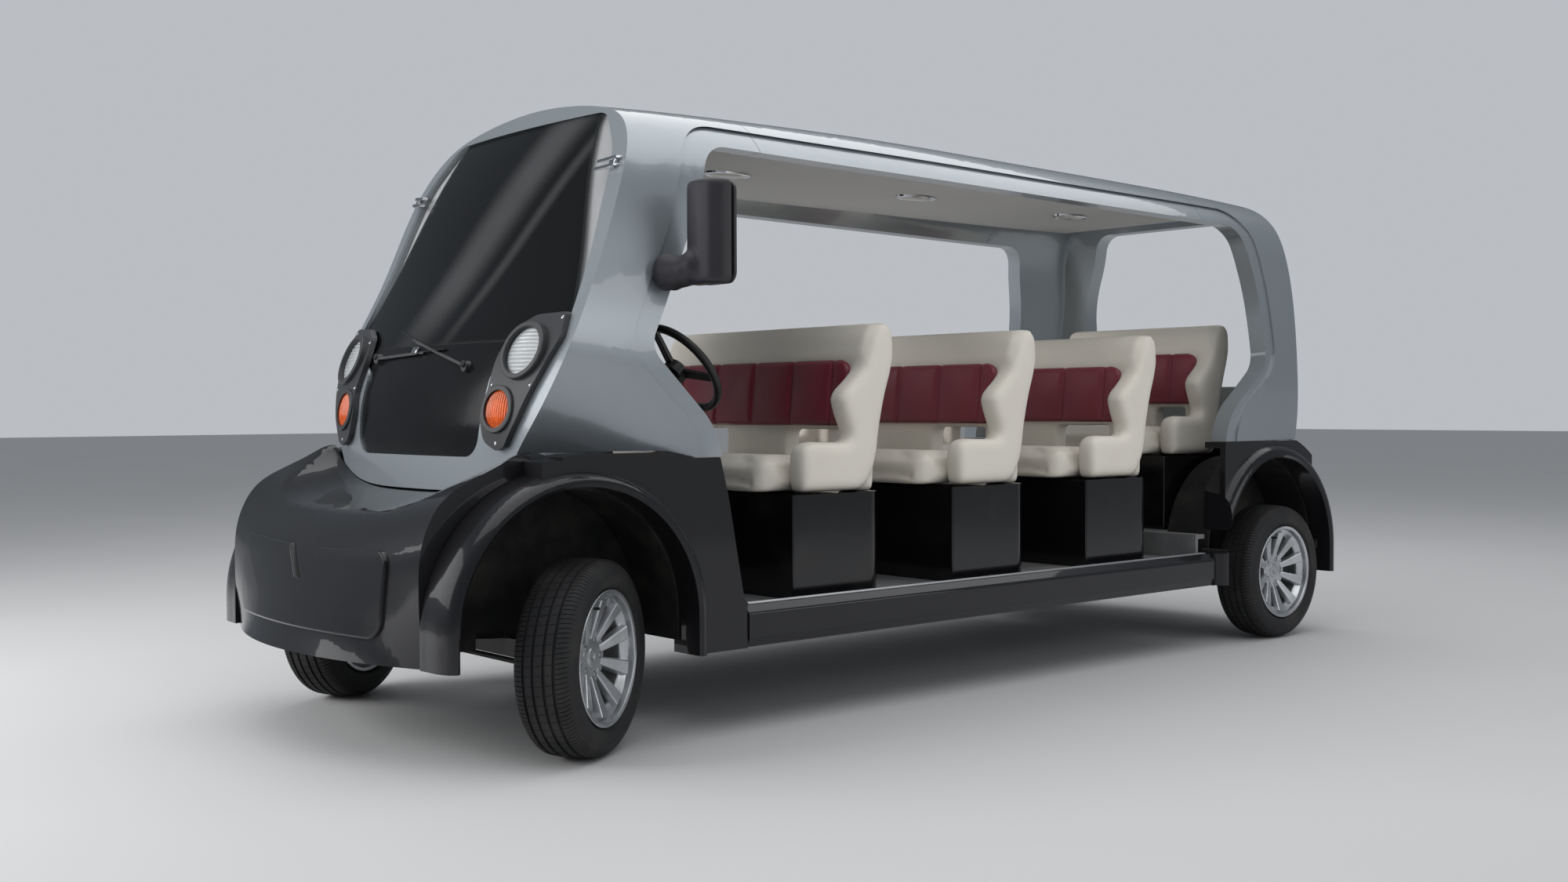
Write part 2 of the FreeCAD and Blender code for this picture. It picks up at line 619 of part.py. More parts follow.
def rail():
    """One side member: low under the floor, raised over both axles, as a plate-walled channel."""
    z0, z1 = RAIL_LOW, RAIL_LOW + RAIL_DEPTH
    k0, k1 = z0 + KICK, z1 + KICK
    tail = WHEELBASE
    low = [(-420, k0, 0), (420, k0, 120), (560, z0, 120), (tail - 460, z0, 120), (tail - 365, k0, 80),
           (tail + 380, k0, 0), (tail + 380, k1, 0), (tail - 385, k1, 90), (tail - 465, z1, 80),
           (578, z1, 60), (445, k1, 120), (-420, k1, 0)]
    x0 = RAIL_X - RAIL_WIDTH / 2
    beam = prism_x([(at(y), z, r) for y, z, r in low], x0, x0 + RAIL_WIDTH)
    return beam


def chassis_frame():
    left = rail()
    members = [left, mirrored(left)]
    z0 = RAIL_LOW
    inner = RAIL_X - RAIL_WIDTH / 2
    for station in (700, 1450, 2200, 2950):
        members.append(box(-inner, inner, at(station), at(station + 50), z0 + 5, z0 + RAIL_DEPTH))
    for station in (-415, WHEELBASE + 325):
        members.append(box(-inner, inner, at(station), at(station + 50), z0 + KICK + 5,
                           z0 + KICK + RAIL_DEPTH))
    # outriggers that carry the sills
    reach = BODY_HALF_WIDTH - 14 - 95
    for station in (760, 1450, 2200, 2900):
        arm = box(RAIL_X + RAIL_WIDTH / 2, reach, at(station), at(station + 45), z0 + 5, z0 + RAIL_DEPTH)
        members += [arm, mirrored(arm)]
    shape = fused(members)
    # tow eye under the nose: a flat lug ahead of the first crossmember, for a pin from below
    low = z0 + KICK + 8
    lug = prism_z([(-34, at(-400), 0), (-26, at(-458), 24), (26, at(-458), 24), (34, at(-400), 0)], low, low + 18)
    shape = shape.fuse(lug).cut(rod(V(0, at(-432), low - 5), V(0, at(-432), low + 25), TOW_EYE_RADIUS))
    return shape.removeSplitter()


TOW_EYE_RADIUS = 11.0


SPRING_HALF = 330.0                      # half the length of the main leaf


def leaf_spring(station):
    """Three-leaf pack lying on the axle, its ends in hangers under the rail."""
    x0 = RAIL_X - 25
    seat = AXLE_HEIGHT + BEAM_DEPTH / 2
    leaves = []
    for index, (half, rise) in enumerate(((SPRING_HALF, 46), (SPRING_HALF - 80, 30), (SPRING_HALF - 160, 12))):
        z = seat + 16 - 8 * index
        a, m, b = V(x0, at(station - half), z + rise), V(x0, at(station), z), V(x0, at(station + half), z + rise)
        low = Part.Arc(a, m, b).toShape()
        high = Part.Arc(a + V(0, 0, 7.6), m + V(0, 0, 7.6), b + V(0, 0, 7.6)).toShape()
        ends = [Part.LineSegment(a, a + V(0, 0, 7.6)).toShape(), Part.LineSegment(b, b + V(0, 0, 7.6)).toShape()]
        wire = Part.Wire(Part.__sortEdges__([low, ends[1], high, ends[0]]))
        leaves.append(Part.Face(wire).extrude(V(50, 0, 0)))
    clamp = box(x0 - 6, x0 + 56, at(station - 40), at(station + 40), seat, seat + 30)
    hangers = []
    for end in (-SPRING_HALF + 10, SPRING_HALF - 10):
        hangers.append(box(x0 + 8, x0 + 42, at(station + end - 14), at(station + end + 14),
                           seat + 60, RAIL_LOW + KICK - SEAT_GAP))
    return fused(leaves + [clamp] + hangers)


BEAM_DEPTH = 56.0
YOKE_HALF = 62.0                        # half the height of the opening in the kingpin yoke


def front_axle():
    """Beam with a yoke and a kingpin at each end."""
    z = AXLE_HEIGHT
    beam = box(-KINGPIN_X + 44, KINGPIN_X - 44, at(-27), at(27), z - BEAM_DEPTH / 2, z + BEAM_DEPTH / 2)
    parts_list = [beam]
    for side in (-1, 1):
        x = side * KINGPIN_X
        web = box(min(x - side * 58, x - side * 34), max(x - side * 58, x - side * 34), at(-27), at(27),
                  z - YOKE_HALF - 14, z + YOKE_HALF + 14)
        parts_list.append(web)
        for low in (z - YOKE_HALF - 14, z + YOKE_HALF):
            ear = Part.makeCylinder(26, 14, V(x, at(0), low))
            ear = ear.fuse(box(min(x, x - side * 40), max(x, x - side * 40), at(-26), at(26), low, low + 14))
            parts_list.append(ear)
        parts_list.append(Part.makeCylinder(KINGPIN_RADIUS, 2 * YOKE_HALF, V(x, at(0), z - YOKE_HALF)))
    return fused(parts_list)


KINGPIN_RADIUS = 12.0


def knuckle(side):
    """Barrel on the kingpin, stub axle outwards, steering arm rearwards, straight ahead position."""
    z = AXLE_HEIGHT
    x = side * KINGPIN_X
    gap = 1.0
    barrel = Part.makeCylinder(24, 2 * (YOKE_HALF - gap), V(x, at(0), z - YOKE_HALF + gap))
    stub_end = side * (WHEEL_X + HUB_REACH - 6)
    stub = rod(V(x, at(0), z), V(stub_end, at(0), z), SPINDLE_RADIUS)
    collar = rod(V(x, at(0), z), V(side * (WHEEL_X - HUB_REACH - 4), at(0), z), 28)
    arm_z = z - YOKE_HALF + 4
    arm = box(x - 12, x + 12, at(14), at(STEER_ARM), arm_z, arm_z + 16)
    eye = Part.makeCylinder(17, 16, V(x, at(STEER_ARM), arm_z))
    shape = fused([barrel, stub, collar, arm, eye])
    shape = shape.cut(Part.makeCylinder(KINGPIN_RADIUS + RUNNING_FIT, 2 * YOKE_HALF, V(x, at(0), z - YOKE_HALF)))
    shape = shape.cut(Part.makeCylinder(TIE_PIN_RADIUS + RUNNING_FIT, 40, V(x, at(STEER_ARM), arm_z - 10)))
    shape = shape.removeSplitter()
    shape.rotate(V(x, at(0), 0), Z_AXIS, STEER_REST)
    return shape


HUB_REACH = 34.0
TIE_PIN_RADIUS = 6.0


def arm_eye(side):
    """Place of a steering arm's eye with the wheels turned to the left."""
    turn = math.radians(STEER_REST)
    return V(side * KINGPIN_X - STEER_ARM * math.sin(turn), at(0) + STEER_ARM * math.cos(turn),
             AXLE_HEIGHT - YOKE_HALF + 4)


def tie_rod():
    """Rod under the two steering arms; its pins stand up through the arms' eyes."""
    left, right = arm_eye(1), arm_eye(-1)
    drop = V(0, 0, -16.5)
    shape = rod(right + drop, left + drop, 9)
    pieces = [shape]
    for eye, radius in ((left, TIE_PIN_RADIUS), (right, TIE_PIN_RADIUS - 1.5)):
        pieces.append(Part.makeCylinder(15, 18, eye + V(0, 0, -26)))
        pieces.append(Part.makeCylinder(radius, 36, eye + V(0, 0, -22)))
    return fused(pieces)


def rear_axle():
    """Tube with spring seats and the final drive housing; stub ends carry the wheels."""
    z = AXLE_HEIGHT
    y = at(WHEELBASE)
    end = WHEEL_X - HUB_REACH - 4
    tube_part = rod(V(-end, y, z), V(end, y, z), BEAM_DEPTH / 2)
    stubs = rod(V(-WHEEL_X - HUB_REACH + 6, y, z), V(WHEEL_X + HUB_REACH - 6, y, z), SPINDLE_RADIUS)
    corners = [(-118, 0), (-118, 34), (-70, 92), (-30, 108), (30, 108), (70, 92), (118, 34), (118, 0)]
    edges = [Part.LineSegment(V(a, y, z + b), V(c, y, z + d)).toShape()
             for (a, b), (c, d) in zip(corners, corners[1:] + corners[:1])]
    housing = Part.Face(Part.Wire(edges)).revolve(V(0, y, z), X_AXIS, 360)
    nose = rod(V(0, y - 60, z), V(0, y - 150, z), 62)
    return fused([tube_part, stubs, housing, nose])


def drive_motor():
    """Motor ahead of the final drive, as one plain round block."""
    y = at(WHEELBASE) - 150 - SEAT_GAP
    return rod(V(0, y - 270, AXLE_HEIGHT), V(0, y, AXLE_HEIGHT), 92)


# ---- wheels ----
def tyre_shape():
    """Tyre round the X axis, with its bore open to the rim."""
    half = TYRE_WIDTH / 2
    bead = RIM_RADIUS - 7
    r = TYRE_RADIUS
    rim = RIM_RADIUS
    wall = (r - rim) / 91.0              # side wall height, as a share of the standard one
    outer = [(bead, half - 19, 0), (rim + 1, half - 15.5, 0), (rim + 16 * wall, half - 3, 12), (r - 46 * wall, half, 60),
             (r - 14, half - 12, 22),
             (r - 3, half - 26, 30), (r, 0, 900), (r - 3, -half + 26, 30), (r - 14, -half + 12, 22),
             (r - 46 * wall, -half, 60), (rim + 16 * wall, -half + 3, 12), (rim + 1, -half + 15.5, 0),
             (bead, -half + 19, 0), (bead, -half + 34, 0), (bead + 22 * wall, -half + 16, 12),
             (r - 40 * wall, -half + 14, 26), (r - 16, -half + 34, 20),
             (r - 16, half - 34, 20), (r - 40 * wall, half - 14, 26), (bead + 22 * wall, half - 16, 12),
             (bead, half - 34, 0)]
    wire = outline([(x, rr, c) for rr, x, c in outer], lambda u, v: V(u, 0, v))
    return Part.Face(wire).revolve(V(0, 0, 0), X_AXIS, 360)


SPOKES = 10


def rim_shape():
    """Alloy wheel round the X axis, its face towards +X."""
    half = TYRE_WIDTH / 2
    r = RIM_RADIUS
    bead = r - 7 - SEAT_GAP
    well = r - 34
    profile = [(half - 6, r, 3), (half - 14, r, 3), (half - 18, bead, 3), (half - 36, bead, 4), (half - 48, well, 8),
               (-half + 60, well, 8), (-half + 36, bead, 6), (-half + 18, bead, 3), (-half + 14, r, 3),
               (-half + 6, r, 3), (-half + 8, bead - 7, 4), (-half + 34, bead - 7, 4), (-half + 56, well - 8, 8),
               (half - 44, well - 8, 8), (half - 30, bead - 8, 4), (half - 10, bead - 6, 4)]
    wire = outline(profile, lambda u, v: V(u, 0, v))
    barrel = Part.Face(wire).revolve(V(0, 0, 0), X_AXIS, 360)
    hub_face = 30.0
    hub = rod(V(-HUB_REACH, 0, 0), V(hub_face, 0, 0), 44).fuse(rod(V(hub_face - 24, 0, 0), V(hub_face, 0, 0), 76))
    pieces = [barrel, hub]
    for index in range(SPOKES):
        root = outline([(-15, hub_face - 22, 4), (15, hub_face - 22, 4), (11, hub_face + 2, 5), (-11, hub_face + 2, 5)],
                       lambda u, v: V(v, u, 55))
        tip = outline([(-27, half - 46, 4), (27, half - 46, 4), (22, half - 20, 6), (-22, half - 20, 6)],
                      lambda u, v: V(v, u, well + 4))
        spoke = Part.makeLoft([root, tip], True, True)
        spoke.rotate(V(0, 0, 0), X_AXIS, 360 / SPOKES * index)
        pieces.append(spoke)
    shape = fused(pieces)
    bore = rod(V(-HUB_REACH - 1, 0, 0), V(HUB_REACH - 6, 0, 0), SPINDLE_RADIUS + RUNNING_FIT)
    shape = shape.cut(bore)
    for index in range(5):
        turn = math.radians(72 * index)
        y, z = 54 * math.cos(turn), 54 * math.sin(turn)
        shape = shape.cut(rod(V(hub_face - 12, y, z), V(hub_face + 5, y, z), 10))
    return shape


def place_wheel(shape, side, station, steered):
    wheel = shape.copy()
    if side < 0:
        wheel.rotate(V(0, 0, 0), Z_AXIS, 180)
    wheel.translate(V(side * WHEEL_X, at(station), AXLE_HEIGHT))
    if steered:
        wheel.rotate(V(side * KINGPIN_X, at(station), 0), Z_AXIS, STEER_REST)
    return wheel


# ---- cabin ----
PITCH = (WHEELBASE - 530) / ROWS
SEAT_HALF = 600.0
LAST_SEAT_HALF = 440.0
SEAT_BASE_TOP = FLOOR_HEIGHT + 350


REAR_DECK = RAIL_LOW + KICK + RAIL_DEPTH + 18 + SEAT_GAP


def floor_deck():
    """Walking surface, with a step up to the deck over the rear axle."""
    edge = BODY_HALF_WIDTH - 14 - 60 - SEAT_GAP
    step = at(WHEELBASE - 510)
    low = FLOOR_HEIGHT - 18
    main = box(-edge, edge, at(SILL_START + 4), step, low, FLOOR_HEIGHT)
    riser = box(-edge, edge, step - 16, step, low, REAR_DECK)
    arch = at(WHEELBASE) - ARCH_RADIUS - FLARE - PANEL_GAP
    deck = box(-edge, edge, step - 16, arch, REAR_DECK - 18, REAR_DECK)
    well = FRONT_HOUSING_X - SEAT_GAP
    nose = box(-well, well, at(60), at(SILL_START + 6), low, FLOOR_HEIGHT)
    x0 = RAIL_X - RAIL_WIDTH / 2 - PANEL_GAP
    notch = box(x0, x0 + RAIL_WIDTH + 2 * PANEL_GAP, at(SPRING_HALF - 150), at(600), low - 1, FLOOR_HEIGHT + 1)
    main = main.fuse(nose.cut(both(notch)))
    well = REAR_HOUSING_X - SEAT_GAP
    tail = box(-well, well, arch - 10, at(WHEELBASE + 120), REAR_DECK - 18, REAR_DECK)
    return fused([main, riser, deck, tail])


def seat_place(row):
    half = SEAT_HALF if row < ROWS - 1 else LAST_SEAT_HALF
    lift = 0 if row < ROWS - 1 else 75
    return at(930 + row * PITCH), half, lift


def seat_base(row):
    y, half, lift = seat_place(row)
    top = SEAT_BASE_TOP + lift
    wide = half + 10 if row < ROWS - 1 else half - 12
    foot = FLOOR_HEIGHT if row < ROWS - 1 else REAR_DECK
    corners = [(-wide, y, 8), (wide, y, 8), (wide, y + 430, 70), (-wide, y + 430, 70)]
    outer = prism_z(corners, foot + SEAT_GAP, top)
    wall = 12
    corners = [(-wide + wall, y + wall, 4), (wide - wall, y + wall, 4),
               (wide - wall, y + 430 - wall, 58), (-wide + wall, y + 430 - wall, 58)]
    return outer.cut(prism_z(corners, foot - 5, top - wall))


def seat_cushion(row):
    y, half, lift = seat_place(row)
    z = SEAT_BASE_TOP + lift + SEAT_GAP
    corners = [(y - 55, z, 25), (y - 60, z + 95, 50), (y + 60, z + 135, 60), (y + 330, z + 120, 30), (y + 330, z, 20)]
    return prism_x(corners, -half + 92, half - 92)


def seat_back(row):
    """Profile (y, z, radius) of the backrest, which stands behind the cushion."""
    y, half, lift = seat_place(row)
    z = SEAT_BASE_TOP + lift + SEAT_GAP
    return [(y + 338, z, 10), (y + 350, z + 180, 100), (y + 380, z + 440, 200), (y + 430, z + 606, 30),
            (y + 486, z + 602, 22), (y + 462, z + 330, 300), (y + 428, z, 14)]


def seat_shell(row):
    """Padded backrest shell with wings that wrap round the cushion at both ends."""
    y, half, lift = seat_place(row)
    z = SEAT_BASE_TOP + lift + SEAT_GAP
    slab = prism_x(seat_back(row), -half + 70, half - 70)
    for side in (-1, 1):
        x0, x1 = sorted((side * 105, side * (half - 120)))
        slab = slab.cut(box(x0, x1, y + 300, y + 520, z + 140, z + 205))
    wing = [(y + 70, z, 36), (y + 86, z + 165, 42), (y + 258, z + 176, 26), (y + 272, z + 215, 26),
            (y + 232, z + 350, 60), (y + 372, z + 450, 70), (y + 432, z + 600, 40), (y + 492, z + 594, 30),
            (y + 470, z + 330, 300), (y + 436, z, 24)]
    wings = [prism_x(wing, half - 90, half), prism_x(wing, -half, -half + 90)]
    return fused([slab] + wings)


def seat_pad(row):
    y, half, lift = seat_place(row)
    z = SEAT_BASE_TOP + lift
    pad = [(y + 298, z + 212, 14), (y + 322, z + 466, 14), (y + 410, z + 466, 4), (y + 385, z + 212, 4)]
    block = prism_x(pad, -half + 108, half - 108)
    slab = prism_x(seat_back(row), -half, half)
    slab.translate(V(0, -SEAT_GAP, 0))
    return block.cut(slab)


def dashboard():
    """Dash moulding under the windscreen, inside the cowl."""
    corners = [(at(-40), WAIST_HEIGHT - 60, 20), (at(-40), 1130, 60), (at(170), 1170, 60), (at(285), 1120, 40),
               (at(300), 1040, 40), (at(230), 960, 60), (at(220), WAIST_HEIGHT - 60, 10)]
    block = prism_x(corners, -600, 600)
    hollow = prism_x([(at(-22), WAIST_HEIGHT - 100, 4), (at(-22), 1112, 46), (at(160), 1150, 40), (at(268), 1108, 26),
                      (at(280), 1046, 26), (at(212), 968, 50), (at(202), WAIST_HEIGHT - 100, 4)], -582, 582)
    d = column_direction()
    jacket = rod(WHEEL_CENTRE - d * 700, WHEEL_CENTRE, COLUMN_JACKET + PANEL_GAP).fuse(
        rod(WHEEL_CENTRE - d * 700, WHEEL_CENTRE - d * 540, COLUMN_FLANGE + PANEL_GAP))
    return block.cut(hollow).cut(jacket).common(upper_solid(WALL + 24, PILLAR + SEAT_GAP))


# ---- fittings ----
WHEEL_CENTRE = V(335, at(665), 1150)     # steering wheel
STEERING_WHEEL_RADIUS = 180.0
COLUMN_TILT = 52.0                       # degrees of the column from upright


def column_direction():
    tilt = math.radians(COLUMN_TILT)
    return V(0, math.sin(tilt), math.cos(tilt))


def steering_wheel():
    """Rim, three spokes and boss, in the plane square to the column."""
    ring = Part.makeTorus(STEERING_WHEEL_RADIUS - 14, 14)
    boss = Part.makeCylinder(44, 34, V(0, 0, -38))
    pieces = [ring, boss]
    for turn in (-90, 15, 165):
        spoke = prism_z([(0, -17, 0), (STEERING_WHEEL_RADIUS - 12, -13, 0), (STEERING_WHEEL_RADIUS - 12, 13, 0), (0, 17, 0)],
                        -24, -12)
        spoke.rotate(V(0, 0, 0), Y_AXIS, -6)
        spoke.rotate(V(0, 0, 0), Z_AXIS, turn)
        pieces.append(spoke)
    shape = fused(pieces)
    shape = shape.cut(Part.makeCylinder(COLUMN_SHAFT + RUNNING_FIT, 24, V(0, 0, -40)))
    shape.rotate(V(0, 0, 0), X_AXIS, -COLUMN_TILT)
    shape.translate(WHEEL_CENTRE)
    return shape


COLUMN_SHAFT = 11.0
COLUMN_JACKET = 26.0
COLUMN_FLANGE = 36.0


def steering_column():
    """Shaft in a round jacket, from the wheel down to its bearing on the bulkhead."""
    d = column_direction()
    top = WHEEL_CENTRE - d * 17
    collar = WHEEL_CENTRE - d * 42
    foot = WHEEL_CENTRE - d * ((WHEEL_CENTRE.y - at(BULKHEAD) + 60) / d.y)
    flange = rod(foot + d * 20, foot + d * 92, COLUMN_FLANGE)
    shape = fused([rod(foot, top, COLUMN_SHAFT), rod(WHEEL_CENTRE - d * 420, collar, COLUMN_JACKET), flange])
    return shape.cut(box(0, 800, at(-200), at(BULKHEAD) + SEAT_GAP, 200, 1400))


def windscreen_clamp():
    """Two-jaw clip that holds the glass to the surround, on a barrel nut."""
    x, z = 596, 1757
    jaws = [mask_plate([(x - 46, z + dz - 5, 4), (x + 34, z + dz + 3, 4), (x + 34, z + dz + 13, 4),
                        (x - 46, z + dz + 5, 4)], 22, -SEAT_GAP) for dz in (-14, 10)]
    web = mask_plate([(x + 4, z - 18, 4), (x + 24, z - 16, 4), (x + 24, z + 22, 4), (x + 4, z + 20, 4)],
                     16, -SEAT_GAP)
    return fused(jaws + [web])


def pedals():
    """Accelerator and brake pads on swan-neck arms, with the bracket they hang from."""
    pieces = []
    for x, width in ((250, 50), (370, 74)):
        pad = box(x - width / 2, x + width / 2, at(300), at(312), FLOOR_HEIGHT + 90, FLOOR_HEIGHT + 150)
        arm = box(x - 7, x + 7, at(262), at(304), FLOOR_HEIGHT + 130, FLOOR_HEIGHT + 350)
        pieces += [pad, arm]
    bracket = box(222, 400, at(BULKHEAD) + SEAT_GAP, at(290), FLOOR_HEIGHT + 330, FLOOR_HEIGHT + 370)
    return fused([pieces[0], pieces[1], pieces[2], pieces[3], bracket])


BULKHEAD = 215.0                         # station of the closing panel's cabin side


def front_bulkhead():
    """Toe board and closing panel between cabin and front axle, notched over the rails."""
    well = FRONT_HOUSING_X - SEAT_GAP
    top = WAIST_HEIGHT - 60 - SEAT_GAP
    foot = FLOOR_HEIGHT + SEAT_GAP
    corners = [(at(60), foot, 0), (at(75), foot, 0), (at(BULKHEAD), FLOOR_HEIGHT + 260, 60),
               (at(BULKHEAD), top, 0), (at(BULKHEAD - 15), top, 0), (at(BULKHEAD - 15), FLOOR_HEIGHT + 262, 60)]
    board = prism_x(corners, -well, well)
    x0 = RAIL_X - RAIL_WIDTH / 2 - PANEL_GAP
    notch = box(x0, x0 + RAIL_WIDTH + 2 * PANEL_GAP, at(0), at(BULKHEAD + 60), 200, RAIL_LOW + KICK + RAIL_DEPTH + PANEL_GAP)
    return board.cut(both(notch))


MIRROR = (866.0, 392.0, 1538.0)          # x, station, z of the housing's middle


def mirror_housing():
    x, y, z = MIRROR
    shell = prism_y([(x - 84, z - 158, 34), (x + 84, z - 158, 46), (x + 80, z + 158, 34), (x - 78, z + 158, 30)],
                    at(y - 38), at(y + 30))
    shell = shell.makeFillet(16, [e for e in shell.Edges if e.BoundBox.YMax < at(y - 37)])
    shell = shell.cut(prism_y([(x - 76, z - 150, 28), (x + 76, z - 150, 38), (x + 72, z + 150, 28), (x - 70, z + 150, 26)],
                              at(y + 18), at(y + 31)))
    root = V(BODY_HALF_WIDTH - 110, at(292), 1425)
    arm = Part.makeLoft([outline([(-44, -66, 16), (44, -66, 16), (44, 66, 30), (-44, 66, 30)],
                                 lambda u, v: root + V(0, u, v)),
                         outline([(-22, -36, 12), (22, -36, 12), (22, 36, 18), (-22, 36, 18)],
                                 lambda u, v: V(x - 40, at(y - 12) + u, z - 116 + v))], True, True)
    return shell, arm


def mirror_glass():
    x, y, z = MIRROR
    return prism_y([(x - 74, z - 148, 27), (x + 74, z - 148, 37), (x + 70, z + 148, 27), (x - 68, z + 148, 25)],
                   at(y + 18.3), at(y + 24))


def tail_lamp():
    """Round lamp pair on the tail moulding: stop lamp above, indicator below."""
    x = 520.0
    pieces = []
    for z, r, bow in ((650, 56, 0.23), (515, 46, 0.22)):
        y = at(WHEELBASE + REAR_OVERHANG - bow * x * x / 1000) - 24
        drum = rod(V(x, y - 10, z), V(x, y + 44, z), r)
        pieces.append(drum.cut(tail_solid(-SEAT_GAP)))
    return pieces


def wiper(pivot, tip):
    """Pivot boss, arm and blade lying just off the glass."""
    px, pz = pivot
    tx, tz = tip

    def off(x, z, proud):
        return V(x, at(front_setback(x, z / ROOF_HEIGHT, 10 - proud)), z)
    boss = rod(off(px, pz, 1), off(px, pz, 22), 16)
    arm = rod(off(px, pz, 16), off(tx, tz, 14), 5)
    mx, mz = px + (tx - px) * 0.45, pz + (tz - pz) * 0.45
    blade = rod(off(mx, mz, 10), off(tx + (tx - px) * 0.12, tz + (tz - pz) * 0.12, 10), 4)
    return fused([boss, arm, blade])


def headliner():
    """Moulded ceiling panel under the roof, with lengthways ridges."""
    base = WAIST_HEIGHT - SECTION_DROP
    room = tube(PILLAR, WALL + SEAT_GAP, base).cut(tube(PILLAR, WALL + 14, base))
    half = BODY_HALF_WIDTH - 190
    return room.common(box(-half, half, at(420), at(WHEELBASE + 60), ROOF_HEIGHT - 150, ROOF_HEIGHT))


def battery_pack():
    blocks = []
    for row in (1, 2):
        y, half, lift = seat_place(row)
        blocks.append(box(-470, 470, y + 60, y + 400, FLOOR_HEIGHT + SEAT_GAP, FLOOR_HEIGHT + 260))
    return Part.makeCompound(blocks)


def build_all():
    outer, cowl, roof, hoop = upper_body()
    parts["front_cowl"] = cowl
    parts["roof_shell"] = roof
    parts["rear_hoop"] = hoop
    parts["headliner"] = headliner()
    fit = 2 * SEAT_GAP
    pane = two_sided(scaled_z([(x - fit, z - fit * side, r) for (x, z, r), side in
                               zip(GLASS_OPENING, (1, 1, 0, 0, -0.5, 0, -1))]))
    big = 3000
    seam = scaled_z([(0, SCREEN_SEAM, 0)])[0][1]
    screen = mask_plate(pane, -10, 10 + GLASS)
    panel = mask_plate(pane, -8, 8 + GLASS)
    parts["windscreen"] = screen.common(box(-big, big, -big, big, seam + 2, big))
    parts["front_panel"] = panel.common(box(-big, big, -big, big, 0, seam - 2))

    parts["lamp_bezels"] = both(lamp_bezel())
    parts["headlamp_lenses"] = both(lens(HEADLAMP, BEZEL_PROUD, 7))
    parts["indicator_lenses"] = both(lens(INDICATOR, BEZEL_PROUD + 2, 8))
    parts["windscreen_clamps"] = both(windscreen_clamp())
    parts["front_bumper"] = front_bumper()
    parts["front_fenders"] = both(front_fender())
    parts["rear_fenders"] = both(rear_fender())
    parts["rear_bumper"] = rear_bumper()
    parts["side_sills"] = both(sill())
    housings = [wheel_housing(0, FRONT_HOUSING_X, BUMPER_HALF + 30),
                wheel_housing(WHEELBASE, REAR_HOUSING_X, BUMPER_HALF + 30)]
    parts["wheel_housings"] = Part.makeCompound([both(h) for h in housings])
    lamps = tail_lamp()
    parts["tail_lamps"] = Part.makeCompound([both(lamp) for lamp in lamps])

    parts["chassis_frame"] = chassis_frame()
    parts["leaf_springs"] = Part.makeCompound([both(leaf_spring(0)), both(leaf_spring(WHEELBASE))])
    parts["front_axle"] = front_axle()
    parts["rear_axle"] = rear_axle()
    parts["drive_motor"] = drive_motor()
    parts["battery_pack"] = battery_pack()
    parts["front_knuckle_left"] = knuckle(1)
    parts["front_knuckle_right"] = knuckle(-1)
    parts["tie_rod"] = tie_rod()
    tyre, rim = tyre_shape(), rim_shape()
    for end, station in (("front", 0), ("rear", WHEELBASE)):
        for name, side in (("left", 1), ("right", -1)):
            parts[f"tyre_{end}_{name}"] = place_wheel(tyre, side, station, end == "front")
            parts[f"rim_{end}_{name}"] = place_wheel(rim, side, station, end == "front")

    parts["floor_deck"] = floor_deck()
    parts["front_bulkhead"] = front_bulkhead()
    parts["dashboard"] = dashboard()
    parts["steering_column"] = steering_column()
    parts["steering_wheel"] = steering_wheel()
    parts["pedals"] = pedals()
    housing, arm = mirror_housing()
    arm = arm.cut(upper_solid(-SEAT_GAP))
    parts["mirror_housings"] = both(fused([housing, arm]))
    parts["mirror_glasses"] = both(mirror_glass())
    blades = [wiper((257, 1148), (-110, 1234)), wiper((-370, 1187), (-70, 1197))]
    blades = [max(blade.cut(parts["front_panel"]).Solids, key=lambda s: s.Volume) for blade in blades]
    parts["wipers"] = Part.makeCompound(blades)
    rows = range(ROWS)
    parts["seat_bases"] = Part.makeCompound([seat_base(row) for row in rows])
    parts["seat_cushions"] = Part.makeCompound([seat_cushion(row) for row in rows])
    parts["seat_shells"] = Part.makeCompound([seat_shell(row) for row in rows])
    parts["seat_pads"] = Part.makeCompound([seat_pad(row) for row in rows])


def write_parts():
    os.makedirs("parts", exist_ok=True)
    for name, shape in parts.items():
        shape.exportStep(f"parts/{name}.step")
        if not shape.isValid():
            print("invalid solid:", name)


build_all()
write_parts()
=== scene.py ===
import json
import math

import bmesh
import bpy
import numpy
from mathutils import Matrix, Vector
from mathutils.bvhtree import BVHTree


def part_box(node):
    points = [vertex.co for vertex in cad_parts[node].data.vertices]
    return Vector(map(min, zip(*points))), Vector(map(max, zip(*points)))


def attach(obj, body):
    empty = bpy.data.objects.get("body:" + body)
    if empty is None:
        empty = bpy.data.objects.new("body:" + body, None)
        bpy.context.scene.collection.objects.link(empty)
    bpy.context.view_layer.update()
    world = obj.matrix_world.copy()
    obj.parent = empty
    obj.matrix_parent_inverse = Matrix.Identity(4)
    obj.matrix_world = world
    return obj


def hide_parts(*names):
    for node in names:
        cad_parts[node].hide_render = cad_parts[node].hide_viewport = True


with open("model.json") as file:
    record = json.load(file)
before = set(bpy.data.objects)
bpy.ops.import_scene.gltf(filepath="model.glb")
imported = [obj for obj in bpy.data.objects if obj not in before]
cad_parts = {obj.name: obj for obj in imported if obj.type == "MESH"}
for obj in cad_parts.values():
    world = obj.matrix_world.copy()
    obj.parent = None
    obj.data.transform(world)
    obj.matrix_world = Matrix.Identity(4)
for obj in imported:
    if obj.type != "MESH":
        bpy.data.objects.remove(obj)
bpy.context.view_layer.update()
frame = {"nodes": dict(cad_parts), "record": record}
scene = bpy.context.scene

